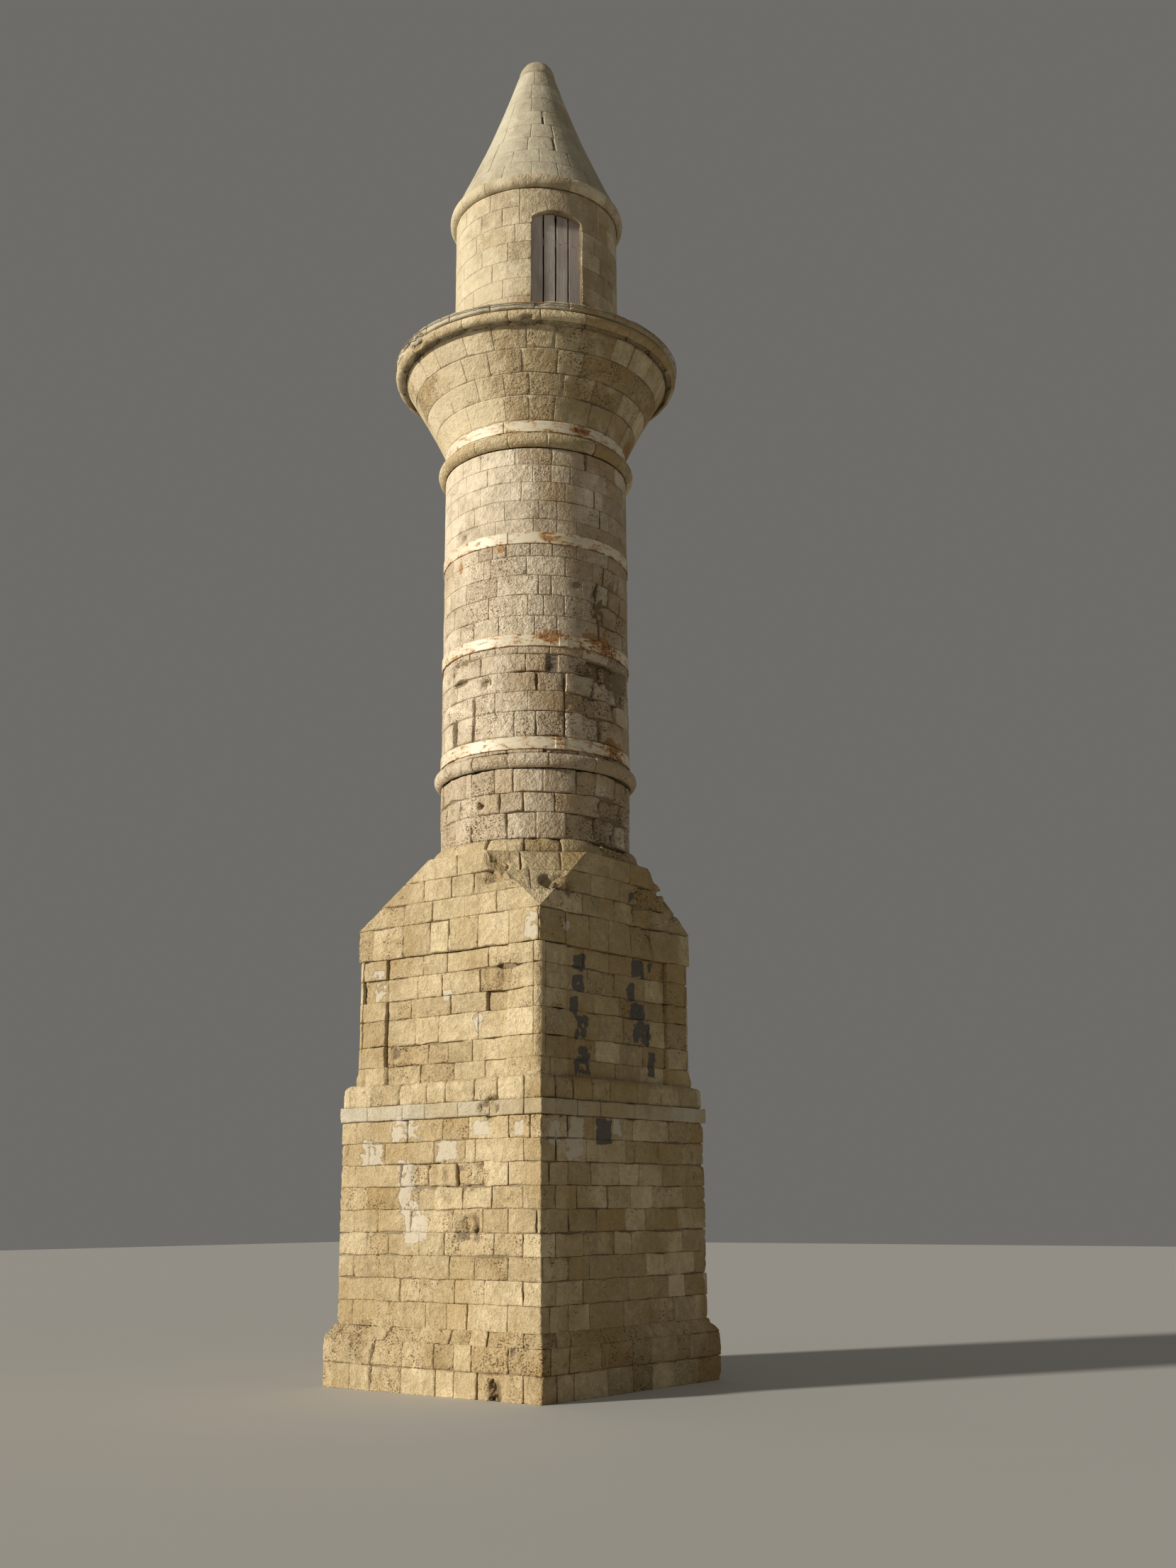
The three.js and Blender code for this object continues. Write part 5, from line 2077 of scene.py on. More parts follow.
@dataclass
class RoundShaft(Assembly):
    """The round shaft, from its cushion course to the roll under the corbel.

    The window and the slit are given by bearing, width, foot and head. The cracks of each drum are given by
    name, pixel, reach and gap.
    """

    lower_beds: tuple[float, ...] = (5.52, 5.805, 6.02, 6.28)
    drum_beds: tuple[tuple[float, ...], ...] = (
        (6.45, 6.64, 6.92, 7.14, 7.36, 7.565, 7.72),
        (7.72, 8.00, 8.24, 8.47, 8.69, 8.905),
        (8.905, 9.13, 9.35, 9.57, 9.78, 9.985),
    )
    window: tuple[float, ...] = (math.radians(50), 0.12, 7.36, 7.565)
    slit: tuple[float, ...] = (math.radians(-17), 0.09, 6.65, 6.92)
    cracks: tuple[tuple[tuple[str, Pair, float, float], ...], ...] = (
        (("crack over the foot", (797, 1000), 0.36, 2.2), ("crack beside the slit", (668, 1013), 0.20, 2.6)),
        (("gap right of the strap's lap", (845, 862), 0.34, 3.6), ("its upper end", (853, 815), 0.14, 3.0)),
        (("crack under the upper roll", (826, 655), 0.10, 3.0), ("its middle", (838, 700), 0.13, 2.6),
         ("its foot", (846, 742), 0.10, 2.6)),
    )

    def build(self) -> None:
        """Build every piece of the shaft."""
        self.foot()
        self.lower_drum()
        self.rolls()
        self.drums()

    def foot(self) -> None:
        """Lay the cushion course on the octagon's ledge."""
        span = Span.of("shaft_foot")
        rounded = quarter_round(Span.of("lower_drum").half, span.half, span.low, span.high, 8)
        surface = Wall(Circle(), Profile(rounded, smooth=True))
        masonry = Masonry(101, lengths=(0.34, 0.56), joint=0.009, mortar=(0.030, 0.045), arris=0.012,
                          rough=0.010, uneven=0.006, corner=0.022, pits=0.7, warmth=0.42)
        self.ring(masonry, surface, "shaft_foot")

    def lower_drum(self) -> None:
        """Lay the three courses under the lower roll."""
        span = Span.of("lower_drum")
        masonry = Masonry(107, lengths=(0.18, 0.46), joint=0.012, mortar=(0.032, 0.050), rough=0.009,
                          waver=0.007, pits=0.60, warmth=0.44)
        levels = [bed - span.low for bed in self.lower_beds]
        self.ring(masonry, span.drum, "lower_drum", levels, face=Look.SHAFT)

    def rolls(self) -> None:
        """Build both roll mouldings."""
        shaft = Span.of("lower_drum").half
        rolls = (113, "lower_roll", 0.40, Look.SHAFT), (127, "upper_roll", 0.15, Look.ASHLAR)
        for seed, node, pits, face in rolls:
            span = Span.of(node)
            surface = Wall(Circle(), roll(shaft, span.half, span.low, span.high))
            masonry = Masonry(seed, lengths=(0.38, 0.62), joint=0.005, uneven=0.004, pits=pits, warmth=0.46)
            self.ring(masonry, surface, node, face=face)

    def drums(self) -> None:
        """Lay the three drums between the rolls, with the window and the slit in the lowest."""
        cuts = (
            Masonry(131, lengths=(0.18, 0.60), mortar=(0.020, 0.036), arris=0.006, rough=0.008, waver=0.006,
                    pits=0.65, warmth=0.42, wash=0.10, smear=0.15),
            Masonry(137, lengths=(0.16, 0.56), joint=0.006, mortar=(0.008, 0.018), arris=0.005, rough=0.007,
                    uneven=0.005, pits=0.60, warmth=0.40, wash=0.16, smear=0.5),
            Masonry(139, lengths=(0.20, 0.60), joint=0.006, mortar=(0.005, 0.010), arris=0.004, rough=0.005,
                    uneven=0.003, waver=0.004, chip=0.008, pits=0.35, warmth=0.38, wash=0.45, smear=0.7),
        )
        pierced = (self.window, self.slit), (), ()
        drums = zip(self.drum_beds, cuts, pierced, self.cracks)
        for number, (beds, masonry, holes, cracks) in enumerate(drums, 1):
            node = f"shaft_drum_{number}"
            span = Span.of(node)
            surface = span.drum
            openings = [self.hole(span.half, bearing, width, low - span.low, high - span.low)
                        for bearing, width, low, high in holes]
            opened = [self.weather.crack(surface.profile, *where) for _, *where in cracks]
            levels = [bed - span.low for bed in beds]
            self.ring(masonry, surface, node, levels, openings=openings, cracks=opened, face=Look.SHAFT)


@dataclass
class Straps(Assembly):
    """The painted metal straps round the shaft, each with its ends lapped."""

    laps: tuple[Pair, ...] = ((700, 618), (710, 777), (795, 901), (790, 1046))
    band: float = 0.010
    edge: float = 0.0025
    proud: float = 0.004
    lap_length: float = 0.11
    rim: float = 0.014
    rim_rust: tuple[float, ...] = (1.0, 1.0, 0.9, 0.3, 0.0, 0.15, 0.55, 0.7, 0.7)
    dent: float = 0.0025
    sway: float = 0.003
    columns: int = 240
    lap_columns: int = 9
    first_seed: int = 200

    def build(self) -> None:
        """Build every strap."""
        for number, pixel in enumerate(self.laps, 1):
            self.strap(f"strap_{number}", self.weather.bearing(pixel), self.first_seed + number)

    def add_band(self, body: Body, span: Span, u: Array, outer: float, inner: float, seed: int) -> None:
        """Add a band whose edges rust the most.

        Args:
            body: Mesh that it joins.
            span: The strap's levels.
            u: Bearings of its sections. As many as a strap's columns make a closed ring.
            outer: Radius of its face.
            inner: Radius of its back.
            seed: Picks how it is bent.
        """
        corners = np.array([
            (inner, span.low), (outer - self.edge, span.low), (outer, span.low + self.edge),
            (outer, span.low + self.rim), (outer, (span.low + span.high) / 2), (outer, span.high - self.rim),
            (outer, span.high - self.edge), (outer - self.edge, span.high), (inner, span.high),
        ])
        out = outward(u)
        dents = self.dent * np.clip(noise(out, 0.35, seed), -1, 1) - self.dent
        sections = out[:, None] * (corners[:, 0] + dents[:, None])[..., None]
        sections[..., 2] = corners[:, 1] + self.sway * noise(out, 0.8, seed + 5)[:, None]
        tint = np.zeros((sections[..., 0].size, 4))
        tint[:, 2] = np.tile(self.rim_rust, len(u))
        stain = self.weather.stains(sections.reshape(-1, 3))
        loft(body, sections, len(u) == self.columns, tint=tint, stain=stain)

    def strap(self, node: str, lap: float, seed: int) -> None:
        """Build one strap.

        Args:
            node: The solid that it stands for.
            lap: Bearing of its lapped ends.
            seed: Picks how it is bent.
        """
        span = Span.of(node)
        outer = span.half - self.proud
        reach = self.lap_length / 2 / outer
        body = Body()
        around = np.linspace(0, TURN, self.columns, endpoint=False)
        self.add_band(body, span, around, outer, outer - self.band, seed)
        lapped = np.linspace(lap - reach, lap + reach, self.lap_columns)
        self.add_band(body, span, lapped, span.half, outer - self.edge, seed)
        body.build(f"{node}_band", (node,), "strap_paint", (Look.PAINT,))


@dataclass
class Balcony(Assembly):
    """The flared corbel, the moulded edge, the slab with its rim wire, and the landing inside.

    Its outline flares from the shaft's radius to the corbel's, and the rim crumbles between two radii.
    """

    seat: float = 0.65
    shaft: float = 1.06
    flare_foot: float = 10.32
    flare_top: float = 11.25
    flare_radius: float = 1.55
    flare_bend: float = 1.12
    flare_steps: int = 6
    roll_inner: float = 1.605
    rim_edge: float = 0.012
    crumbling: Pair = (1.60, 1.655)
    under_lantern: float = 0.01
    core_inset: float = 0.02
    core_drop: float = 0.014
    wire_points: int = 256
    sag: float = 0.0035
    most_sag: float = 0.006
    clip_pitch: float = 0.46
    clip_radius: float = 0.0022

    def build(self) -> None:
        """Build every piece of the balcony, and give the landing its mortar."""
        self.corbels()
        self.edge_roll()
        self.slab()
        self.wire()
        landing = bpy.data.objects["landing_floor"].data.materials
        landing.clear()
        landing.append(Look.MORTAR.material())

    def flare(self, height: float) -> float:
        """Give the corbel's radius at a height."""
        part = max(0.0, (height - self.flare_foot) / (self.flare_top - self.flare_foot))
        return self.shaft + (self.flare_radius - self.shaft) * part**self.flare_bend

    def corbels(self) -> None:
        """Lay the corbel's courses, pointed nearly flush with pale mortar."""
        for index in range(4):
            node = f"corbel_course_{index + 1}"
            span = Span.of(node)
            steps = np.linspace(span.low, span.high, self.flare_steps).tolist()
            upper = (step for step in steps if step > self.flare_foot)
            heights = sorted({span.low, max(span.low, self.flare_foot), *upper})
            profile = Profile([(self.flare(height), height) for height in heights], smooth=True)
            levels = [0.0, profile.length]
            if span.low < self.flare_foot:
                levels.insert(1, profile.mark(self.flare_foot))
            masonry = Masonry(151 + index, lengths=(0.29, 0.47), joint=0.009, mortar=(0.0035, 0.006),
                              arris=0.004, rough=0.005, uneven=0.004, pits=0.90, warmth=0.48 + 0.02 * index,
                              wash=0.42, smear=0.6)
            self.ring(masonry, Wall(Circle(), profile), node, levels)

    def edge_roll(self) -> None:
        """Lay the half-round stones under the slab."""
        span = Span.of("balcony_roll")
        surface = Wall(Circle(), roll(self.roll_inner, span.half, span.low, span.high))
        masonry = Masonry(163, lengths=(0.36, 0.62), joint=0.004, mortar=(0.010, 0.018), arris=0.006,
                          depth=0.16, uneven=0.004, chip=0.008, corner=0.009, pits=0.35, warmth=0.42,
                          wash=0.35, smear=0.5)
        self.ring(masonry, surface, "balcony_roll", well=self.seat)

    def broken(self, points: Array) -> Array:
        """Give how far the slab's rim has crumbled.

        Args:
            points: Places on the slab.

        Returns:
            The depth lost at each, in metres.
        """
        rim = ramp(np.hypot(points[:, 0], points[:, 1]), *self.crumbling)
        lost = ramp(noise(points * (1, 1, 0.3), 0.34, 971), 0.15, 0.95)
        return rim * (0.030 * lost + 0.010 * np.abs(noise(points, 0.08, 977)))

    def slab(self) -> None:
        """Lay the slab in two rings of thin stones, with a crumbling rim."""
        span, lantern = Span.of("balcony_slab"), Span.of("lantern_wall")
        outer, inner = span.half, lantern.half - self.under_lantern
        surface = Wall(Circle(), Profile([
            (outer, span.low), (outer, span.high - self.rim_edge), (outer - self.rim_edge, span.high),
            (inner, span.high),
        ]))
        masonry = Masonry(167, lengths=(0.34, 0.60), mortar=(0.016, 0.022), arris=0.008, depth=0.07, pits=0.6,
                          grid=0.036, warmth=0.30, wash=0.22)
        middle = surface.length - (outer - inner) / 2
        body = Body()
        stones = masonry.courses((0.0, middle, surface.length), 0.0, TURN, outer)
        masonry.lay(body, surface, stones, self.weather, self.broken)
        behind = Wall(Circle(), upright(outer - self.core_inset, span.low, span.high - self.core_drop))
        masonry.core(body, behind, self.well, self.weather)
        body.build("balcony_slab_stones", ("balcony_slab",), looks=(Look.RENDER, Look.MORTAR))

    def wire(self) -> None:
        """Bend the wire round the slab's rim, with small clips that hold it."""
        low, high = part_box("rim_wire")
        radius, middle = (high.z - low.z) / 2, (low.z + high.z) / 2
        path = outward(np.linspace(0, TURN, self.wire_points, endpoint=False))
        level = middle + np.clip(self.sag * noise(path, 0.25, 981), -self.most_sag, self.most_sag)
        path *= high.x - radius
        path[:, 2] = level
        body = Body()
        tube(body, path, radius, UP, 8, True)
        # A clip's bends, by how far they lie outside the wire and how high over its middle.
        reach = high.x - 2 * radius
        bend = ((-0.030, 0.024), (-0.004, 0.020), (radius, 0.009), (1.6 * radius, 0), (radius, -0.009),
                (-0.006, -0.018), (-0.030, -0.022))
        clips = round(TURN * high.x / self.clip_pitch)
        for out in outward(np.arange(clips) * TURN / clips):
            curve = np.array([out * (reach + far) + UP * (middle + rise) for far, rise in bend])
            tube(body, curve, self.clip_radius, np.cross(out, UP), 5)
        body.build("rim_wire_and_clips", ("rim_wire",), "wire", (Look.WIRE,))


@dataclass
class Lantern(Assembly):
    """The round lantern with its arched doorway, closed with boards.

    The ledges are the battens behind the boards: their levels, and their height and thickness. The lintel
    is given by how far it reaches beyond the doorway on its left and right.
    """

    well: float = 0.70
    rows: int = 8
    lintel_rows: int = 2
    bearing: float = math.radians(55)
    door_width: float = 0.61
    sill: float = -0.1
    spring: float = 12.96
    crown: float = 13.06
    lintel: Pair = (0.14, 0.24)
    board_count: int = 4
    board_face: float = 0.89
    board_depth: float = 0.028
    board_gap: float = 0.012
    ledges: Pair = (11.80, 12.65)
    ledge: Pair = (0.095, 0.024)
    ledge_end: float = 0.0475
    ledge_gap: float = 0.004
    arch_lines: int = 14
    beside_jamb: float = 1e-3
    nail: float = 0.0055
    nails_aside: Pair = (-0.035, 0.038)
    nail_stagger: float = 0.4

    def build(self) -> None:
        """Build every piece of the lantern."""
        self.wall()
        self.boards()
        self.cornice()

    def arch(self, across: Array) -> Array:
        """Give the height of the doorway's head.

        Args:
            across: Distances from the doorway's middle.

        Returns:
            The height at each.
        """
        half, rise = self.door_width / 2, self.crown - self.spring
        radius = (half**2 + rise**2) / (2 * rise)
        return self.crown - radius + np.sqrt(np.maximum(radius**2 - across**2, 0))

    def wall(self) -> None:
        """Lay the lantern's courses, with one long stone over the doorway."""
        span = Span.of("lantern_wall")
        levels = np.linspace(0, span.rise, self.rows + 1).tolist()
        foot = levels[-1 - self.lintel_rows]
        doorway = self.hole(span.half, self.bearing, self.door_width, self.sill, foot)
        left, right = doorway.left, doorway.right
        start, end = left - self.lintel[0] / span.half, right + self.lintel[1] / span.half

        def bed(u: Array) -> Array:
            """Give the lintel's underside.

            Args:
                u: Bearings.

            Returns:
                Its level along v at each, or 0 beside the doorway.
            """
            across = span.half * np.sin(u - self.bearing)
            inside = np.abs(across) < self.door_width / 2
            return np.where(inside, self.arch(across) - span.low, 0.0)

        jambs = [jamb + side for jamb in (left, right) for side in (-self.beside_jamb, self.beside_jamb)]
        lintel = Stone(foot, span.rise, (start, start), (end, end), bed=bed,
                       marks=(*jambs, *np.linspace(left, right, self.arch_lines)[1:-1].tolist()))
        masonry = Masonry(181, lengths=(0.20, 0.56), joint=0.005, mortar=(0.007, 0.014), arris=0.005,
                          rough=0.005, uneven=0.002, waver=0.004, pits=0.40, wash=0.40, smear=0.6)
        self.ring(masonry, span.drum, "lantern_wall", levels, "lantern_stones",
                  (doorway, Opening(start, end, foot, span.rise)),
                  (Opening(left, right, self.sill, self.crown - span.low),), [lintel], face=Look.LANTERN)

    def facet(self, distance: float) -> Facet:
        """Give the upright plane that faces the doorway's bearing, at a distance from the axis."""
        sine, cosine = math.sin(self.bearing), math.cos(self.bearing)
        return Facet(Vector((sine, -cosine, 0)) * distance, Vector((cosine, sine, 0)), Vector((0, 0, 1)))

    def boards(self) -> None:
        """Nail the upright boards to two ledges."""
        floor = Span.of("door_boards").low
        wide = self.door_width / self.board_count
        edges = [-self.door_width / 2 + index * wide for index in range(self.board_count + 1)]
        carpentry = Masonry(191, joint=self.board_gap, arris=0.0035, depth=self.board_depth, rough=0.0012,
                            uneven=0.004, waver=0.002, chip=0.001, corner=0.004, pits=0.3, grid=0.05,
                            warmth=0.35, smear=1.0)
        planks = [Stone(floor, self.crown, (left, left), (right, right), (1, 1, 0, 0.5), head=self.arch)
                  for left, right in itertools.pairwise(edges)]
        body = Body()
        face = self.facet(self.board_face)
        carpentry.lay(body, face, planks, self.weather)
        height, thick = self.ledge
        reach = self.door_width / 2 - self.ledge_end
        battens = [Stone(low, low + height, (-reach,) * 2, (reach,) * 2) for low in self.ledges]
        behind = self.facet(self.board_face - self.board_depth - self.ledge_gap)
        Masonry(193, arris=0.003, rough=0.001, uneven=0.001, waver=0.001, chip=0.0, corner=0.003, depth=thick,
                grid=0.08).lay(body, behind, battens, self.weather)
        for low, edge, aside in itertools.product(self.ledges, edges[:-1], self.nails_aside):
            level = low + height / 2 + aside * self.nail_stagger
            self.nail_head(body, face, edge + wide / 2 + aside, level)
        body.build("door_planks", ("door_boards",), "board", (Look.BOARDS, Look.WIRE))

    def nail_head(self, body: Body, face: Facet, u: float, v: float) -> None:
        """Add the head of one nail.

        Args:
            body: Mesh that it joins.
            face: Plane of the boards' face.
            u: Its place across.
            v: Its height.
        """
        angle = np.linspace(0, TURN, 8, endpoint=False)
        rings = []
        for width, out in ((0.9, -0.008), (1.0, -0.002), (0.8, 0.0005), (0.35, 0.0015)):
            radius = self.nail * width
            across, up = u + radius * np.cos(angle), v + radius * np.sin(angle)
            rings.append(face.place(across, up, np.full(len(angle), out))[::-1])
        loft(body, np.stack(rings), look=1)

    def cornice(self) -> None:
        """Lay the roll under the roof."""
        span, wall, roof = Span.of("cone_cornice"), Span.of("lantern_wall"), Span.of("cone")
        surface = Wall(Circle(), roll(wall.half, span.half, span.low, span.high, roof.half))
        masonry = Masonry(197, lengths=(0.36, 0.56), joint=0.004, mortar=(0.006, 0.012), arris=0.005,
                          rough=0.004, uneven=0.003, chip=0.006, corner=0.008, pits=0.25, warmth=0.42,
                          wash=0.40, smear=0.6)
        self.ring(masonry, surface, "cone_cornice", name="cornice_stones", face=Look.LANTERN)


@dataclass
class Roof(Assembly):
    """The stone cone with its rounded tip."""

    well: float = 0.70
    rows: int = 8
    shoulder: float = 0.238
    shoulder_height: float = 15.50
    profile_points: int = 7
    cap_rings: int = 9
    cap_reach: float = 0.96
    cap_columns: int = 40
    sag: float = 0.040
    crack_reach: float = 0.09
    crack_gap: float = 5.0
    cracks: tuple[tuple[str, Pair], ...] = (
        ("crack in the tip", (756, 101)), ("crack under the tip", (760, 117)), ("black split", (773, 152)),
        ("crack beside it", (767, 168)), ("split at mid height", (782, 197)), ("lowest crack", (797, 216)),
    )

    def build(self) -> None:
        """Lay the cone's courses and its cap."""
        span = Span.of("cone")
        points = []
        for share in np.linspace(0, 1, self.profile_points):
            radius = span.half + (self.shoulder - span.half) * share - self.sag * math.sin(math.pi * share)
            points.append((radius, span.low + (self.shoulder_height - span.low) * share))
        surface = Wall(Circle(), Profile(points, smooth=True))
        masonry = Masonry(211, joint=0.004, mortar=(0.006, 0.010), arris=0.004, rough=0.004, uneven=0.002,
                          waver=0.003, pits=0.40, warmth=0.30, smear=0.6, wash=0.30)
        levels = np.linspace(0, surface.length, self.rows + 1).tolist()
        cracks = [self.weather.crack(surface.profile, pixel, self.crack_reach, self.crack_gap)
                  for _, pixel in self.cracks]
        slots = [crack.through(surface.metres(crack.low)) for crack in cracks]
        body = Body()
        stones: list[Stone] = []
        for row, (low, high) in enumerate(itertools.pairwise(levels)):
            course = Masonry(masonry.seed + row, lengths=masonry.lengths)
            stones += course.courses((low, high), 0.0, TURN, surface.metres((low + high) / 2), cracks=cracks)
        masonry.lay(body, surface, stones, self.weather)
        masonry.core(body, surface, self.well, self.weather, slots)
        self.cap(body, span)
        body.build("cone_stones", ("cone",), "cone_stone", (Look.RENDER, Look.MORTAR))

    def cap(self, body: Body, span: Span) -> None:
        """Add the rounded stone at the tip.

        Args:
            body: Mesh that it joins.
            span: Reach of the whole cone.
        """
        out = outward(np.linspace(0, TURN, self.cap_columns, endpoint=False))
        rings = []
        for index in range(self.cap_rings + 1):
            angle = QUARTER * index / self.cap_rings * self.cap_reach
            radius = self.shoulder * math.cos(angle)
            flat = radius * out
            flat[:, 2] = self.shoulder_height + (span.high - self.shoulder_height) * math.sin(angle)
            lumps = 0.010 * (noise(flat, 0.12, 223) + 0.5 * noise(flat, 0.05, 227)) - 0.008
            flat[:, :2] *= (1 + np.minimum(lumps, 0) / max(radius, 0.02))[:, None]
            rings.append(flat)
        loft(body, np.stack(rings))


@dataclass
class WindowMesh(Assembly):
    """The sheet of woven wire that closes the shaft's window."""

    pitch: float = 0.011
    wire: float = 0.0014
    rim: float = 0.003

    def build(self) -> None:
        """Weave the wires and bend one round the edge."""
        bearing, width, *_ = RoundShaft.window
        low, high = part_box("window_mesh")
        out, right = outward(np.array([bearing, bearing + QUARTER]))
        middle = np.array((low + high) / 2)
        tall, wide = (high.z - low.z) / 2 - self.rim, width / 2 - self.rim
        body = Body()
        for along, across, length, reach, phase in ((UP, right, tall, wide, 1), (right, UP, wide, tall, 0)):
            count = round(2 * reach / self.pitch)
            steps = np.arange(-length, length + 1e-6, self.pitch / 2)
            for index in range(1, count):
                curve = middle + np.outer(steps, along) + (2 * index / count - 1) * reach * across
                wave = np.sin(np.pi * (steps / self.pitch + index + phase))
                tube(body, curve + np.outer(self.wire * wave, out), self.wire, out, 5)
        corners = ((-wide, -tall), (wide, -tall), (wide, tall), (-wide, tall))
        edge = np.array([middle + x * right + z * UP for x, z in corners])
        tube(body, edge, self.rim, out, closed=True)
        body.build("woven_mesh", ("window_mesh",), "wire", (Look.MESH,))


HOLLOWS = (
    ("sunken stone in the front panel", (693, 1418), 0.11, 0.045, 1.0, True),
    ("sunken stone in the left pilaster", (518, 1405), 0.11, 0.040, 1.0, True),
    ("stone rotted away beside the broach", (702, 1218), 0.15, 0.070),
    ("broken block of the string course", (689, 1562), 0.13, 0.045),
    ("cavity in the broach", (780, 1241), 0.14, 0.080),
    ("gap right of the broach", (804, 1253), 0.05, 0.070, 1.7),
    ("cavity in a rotten stone", (657, 1727), 0.06, 0.040, 1.5),
    ("cavity beside it", (671, 1735), 0.05, 0.050, 1.9),
    ("broken foot of the plinth", (697, 1962), 0.11, 0.100),
    ("small hole in the plinth", (724, 1908), 0.035, 0.050),
    ("square hole over the cushion course", (678, 1136), 0.050, 0.090),
    ("hole under the second strap", (656, 760), 0.040, 0.080),
    ("notch in the lowest drum", (685, 962), 0.070, 0.060),
    ("facing lost under the third strap", (834, 938), 0.10, 0.085, 1.0, True),
    ("facing lost further right", (868, 946), 0.10, 0.095, 1.0, True),
    ("broken back at the right", (876, 985), 0.10, 0.050, 1.0, True),
    ("rough edge of the lost facing", (822, 940), 0.09, 0.060),
    ("worn zone under it", (838, 1000), 0.22, 0.035),
    ("long gap on the right of the middle drum", (845, 854), 0.10, 0.050, 2.6),
    ("hole beside it", (814, 822), 0.060, 0.050),
    ("break in the balcony's edge", (744, 448), 0.070, 0.050),
    ("chunk lost from the balcony's edge", (586, 482), 0.13, 0.060),
    ("small hole in the lantern", (861, 400), 0.040, 0.040),
)
PATCHES = {
    Stain.PLASTER: (
        ("front panel, upper", (626, 1405), 0.10),
        ("front panel, lower", (672, 1443), 0.11),
        ("ring right of the corner", (800, 1303), 0.070),
        ("pale rings on the broach", (742, 1234), 0.060, 1.0, 0.8),
        ("right wall, wide", (810, 1606), 0.17, 1.4, 0.9, True),
        ("right wall, left", (783, 1596), 0.12, 1.0, 0.8, True),
        ("right wall, small", (872, 1589), 0.09, 1.2, 0.8, True),
        ("front left", (524, 1627), 0.17, 0.8, 0.9, True),
        ("over it", (573, 1594), 0.22, 0.6, 0.8, True),
        ("front middle", (629, 1623), 0.16, 0.7, 1.0, True),
        ("further right", (678, 1590), 0.12, 0.8, 0.9, True),
        ("beside the corner", (733, 1590), 0.08, 1.1, 0.8, True),
        ("run", (570, 1668), 0.11, 2.2, 0.8, True),
        ("under it", (578, 1700), 0.17, 0.7, 0.9, True),
        ("white stone of the front", (586, 1734), 0.17, 0.85, 1.6, True),
        ("corner of the wall", (747, 1308), 0.10, 1.6, 0.8, True),
        ("beside the left pilaster", (533, 1390), 0.10, 2.2, 0.6, True),
    ),
    Stain.RESIDUE: (
        ("grey plug", (894, 1262), 0.080),
        # Its dark grey is partly the rubble's own colour and partly painted shade inside the cavity.
        ("grey inside of the lost facing", (850, 941), 0.34, 0.40, 0.5),
        ("grey plaster under the string course", (852, 1596), 0.15, 0.95, 0.95, True),
        ("slate patch, upper left", (821, 1356), 0.125, 0.8, 1.0, True),
        ("slate patch, left", (820, 1386), 0.115, 0.9, 0.85, True),
        ("slate patch, left middle", (814, 1416), 0.075, 1.3, 1.0, True),
        ("slate patch, left lower", (826, 1448), 0.130, 1.1, 0.70, True),
        ("slate ring", (827, 1497), 0.155, 1.1, 0.66, True),
        ("slate patch, upper right", (904, 1366), 0.135, 0.8, 1.1, True),
        ("slate crumb", (922, 1366), 0.040, 1.2, 1.0, True),
        ("slate patch, right", (894, 1397), 0.070, 1.6, 1.0, True),
        ("slate block", (905, 1427), 0.145, 0.65, 1.5, True),
        ("slate patch, right lower", (909, 1458), 0.180, 0.80, 0.80, True),
        ("slate patch, lowest", (924, 1502), 0.080, 1.9, 1.1, True),
    ),
    Stain.RUST: (
        ("top strap", (822, 607), 0.18, 0.6, 1.2),
        ("top strap's right", (884, 640), 0.26, 0.7, 1.3),
        ("spot on the top strap", (697, 595), 0.05),
        ("second strap", (777, 757), 0.15, 0.6),
        ("spot on the second strap", (676, 765), 0.04),
        ("second strap's lap", (709, 776), 0.05),
        ("run under the second strap", (707, 775), 0.05, 1.8, 1.2),
        ("run further left", (650, 806), 0.050, 3.4, 1.2),
        ("left of the third strap's lap", (776, 898), 0.24, 0.45, 1.6),
        ("right of the third strap's lap", (846, 909), 0.46, 0.45, 1.05),
        ("spot on the third strap", (653, 913), 0.04),
        ("fourth strap's lap", (789, 1046), 0.08, 1.4, 1.4),
        ("fourth strap", (866, 1057), 0.28, 0.6, 1.5),
        ("spots on the fourth strap", (832, 1055), 0.05),
    ),
    Stain.WEAR: (
        ("broken ochre stone", (648, 950), 0.14, 1.1, 1.0, True),
        ("right side of the lowest drum", (862, 965), 0.62, 0.9),
        ("foot of the lowest drum", (850, 1040), 0.42, 0.8, 0.8),
        ("right side of the middle drum", (868, 860), 0.50, 1.2, 0.8),
        ("right side under the lower roll", (858, 1160), 0.60, 0.8),
        ("shoulder", (925, 1280), 0.62, 1.0, 1.1),
        ("stone beside the broach", (706, 1222), 0.24, 0.7, 1.0, True),
        ("stone of the front panel", (717, 1372), 0.20, 0.9, 0.9, True),
        ("stone at the panel's foot", (566, 1500), 0.22, 1.0, 0.8, True),
        ("left end of the plinth's slope", (500, 1890), 0.40, 0.7, 0.8),
        ("stone of the lower wall", (659, 1732), 0.17, 0.8, 1.0, True),
        ("stone under the plaster", (598, 1660), 0.20, 0.7, 1.0, True),
        ("stone beside it", (642, 1662), 0.15, 0.9, 1.0, True),
        ("stone further right", (675, 1660), 0.17, 0.9, 0.8, True),
    ),
}


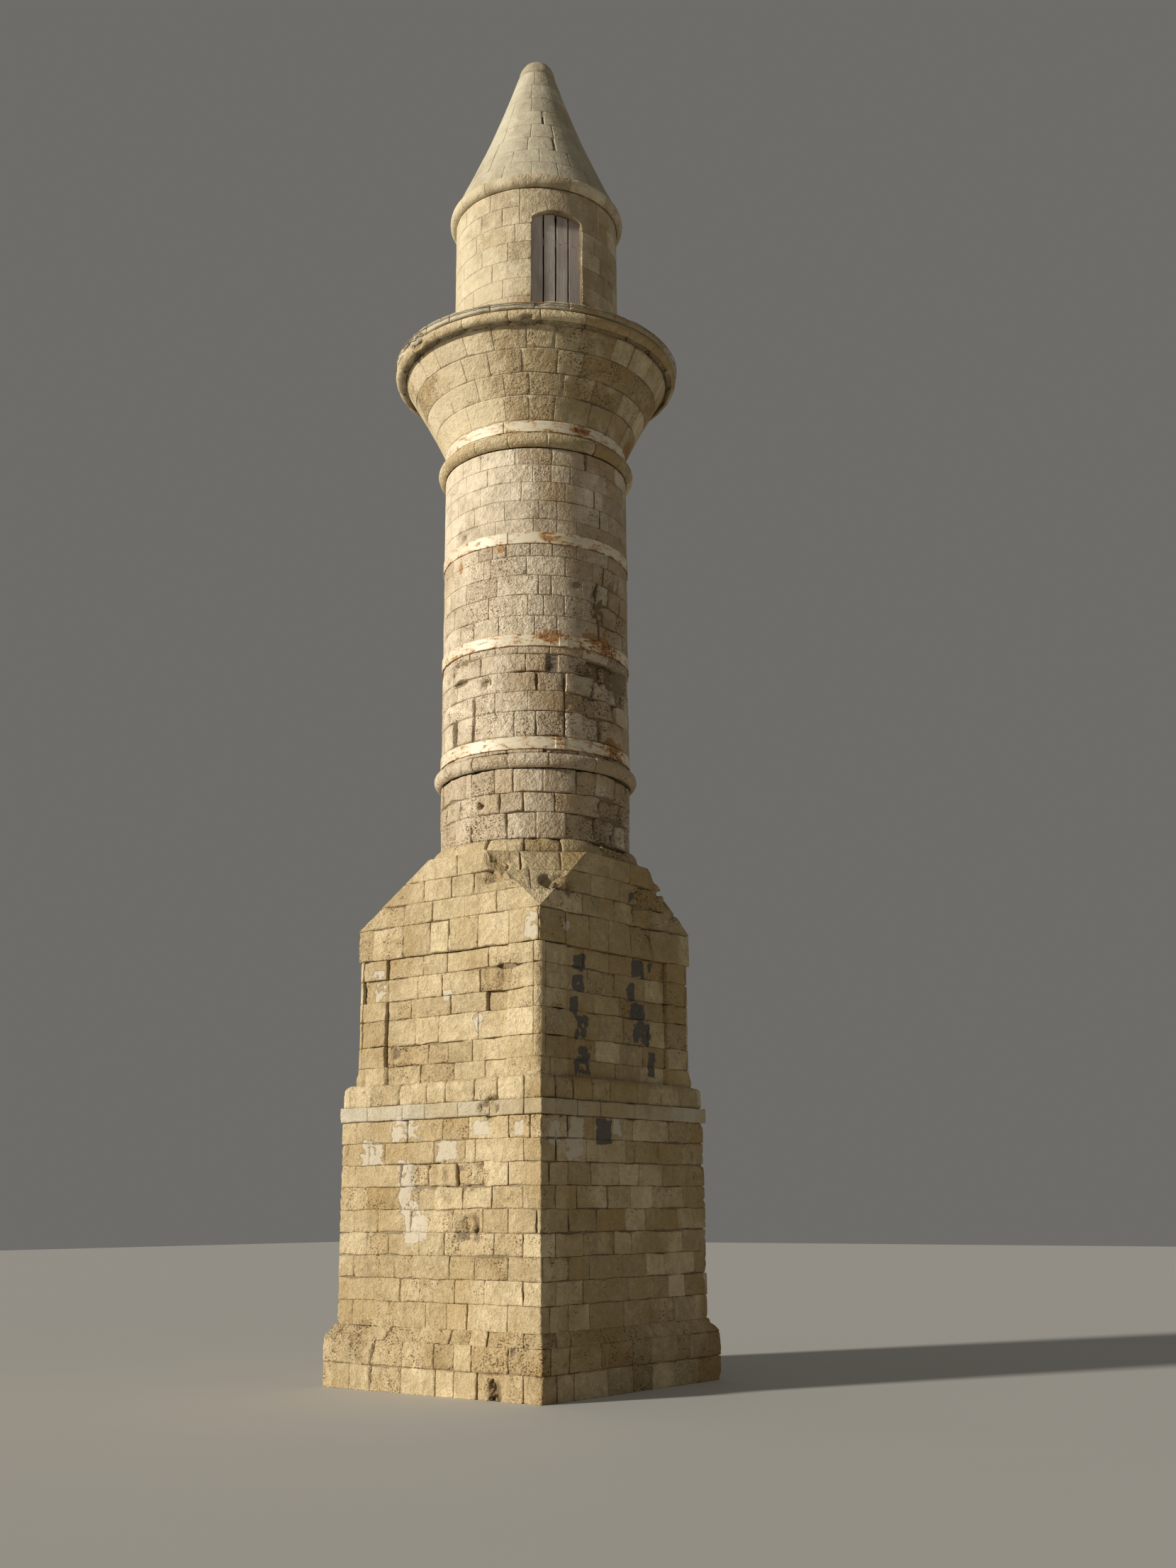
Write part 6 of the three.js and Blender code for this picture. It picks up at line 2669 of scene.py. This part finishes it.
@dataclass
class Studio:
    """A plain pale floor and soft light round the tower, seen as in the photograph."""

    view: PhotoView
    floor_half: float = 60.0
    sky: Colour = (1.0, 0.97, 0.90)
    sky_strength: float = 0.155
    sun: Colour = (1.0, 0.95, 0.86)
    sun_strength: float = 3.9
    sun_bearing: float = math.radians(-26)
    sun_height: float = math.radians(15)
    softness: float = math.radians(5)

    def build(self) -> None:
        """Lay the floor, hang the lights and set the camera."""
        self.floor()
        self.world()
        self.key()
        self.view.camera()
        bpy.context.scene.view_settings.view_transform = "Standard"

    def floor(self) -> None:
        """Lay the floor."""
        reach = self.floor_half
        mesh = bpy.data.meshes.new("studio_floor")
        mesh.from_pydata([(-reach, -reach, 0), (reach, -reach, 0), (reach, reach, 0), (-reach, reach, 0)], [],
                         [(0, 1, 2, 3)])
        mesh.materials.append(Look.FLOOR.material())
        floor = bpy.data.objects.new("studio_floor", mesh)
        bpy.context.collection.objects.link(floor)
        floor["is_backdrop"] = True

    def world(self) -> None:
        """Fill the world with a pale sky."""
        world = bpy.data.worlds.new("pale_sky")
        world.use_nodes = True
        background = world.node_tree.nodes["Background"]
        background.inputs["Color"].default_value = (*self.sky, 1.0)
        background.inputs["Strength"].default_value = self.sky_strength
        bpy.context.scene.world = world

    def key(self) -> None:
        """Hang the low warm key light on the front left."""
        data = bpy.data.lights.new("key", "SUN")
        data.energy = self.sun_strength
        data.color = self.sun
        data.angle = self.softness
        key = bpy.data.objects.new("key", data)
        level = math.cos(self.sun_height)
        towards = Vector((math.sin(self.sun_bearing) * level, -math.cos(self.sun_bearing) * level,
                          math.sin(self.sun_height)))
        key.rotation_mode = "QUATERNION"
        key.rotation_quaternion = towards.to_track_quat("Z", "Y")
        bpy.context.collection.objects.link(key)


def write_sizes() -> None:
    """Put the box of the solids and of the finished model into JSON text, which is not kept."""
    boxes = {"cad": CAD_BOX, "visual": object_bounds()}
    json.dumps({name: [list(corner) for corner in box] for name, box in boxes.items()})


def main() -> None:
    """Build the tower part by part, then the studio."""
    logging.basicConfig(level=logging.INFO, format="%(message)s")
    view = PhotoView()
    weather = Weather(view)
    for part in (SquareBase, RoundShaft, Straps, Balcony, Lantern, Roof, WindowMesh):
        part(weather).build()
        LOG.info("%s built", part.__name__)
    Studio(view).build()
    write_sizes()


if __name__ == "__main__":
    main()
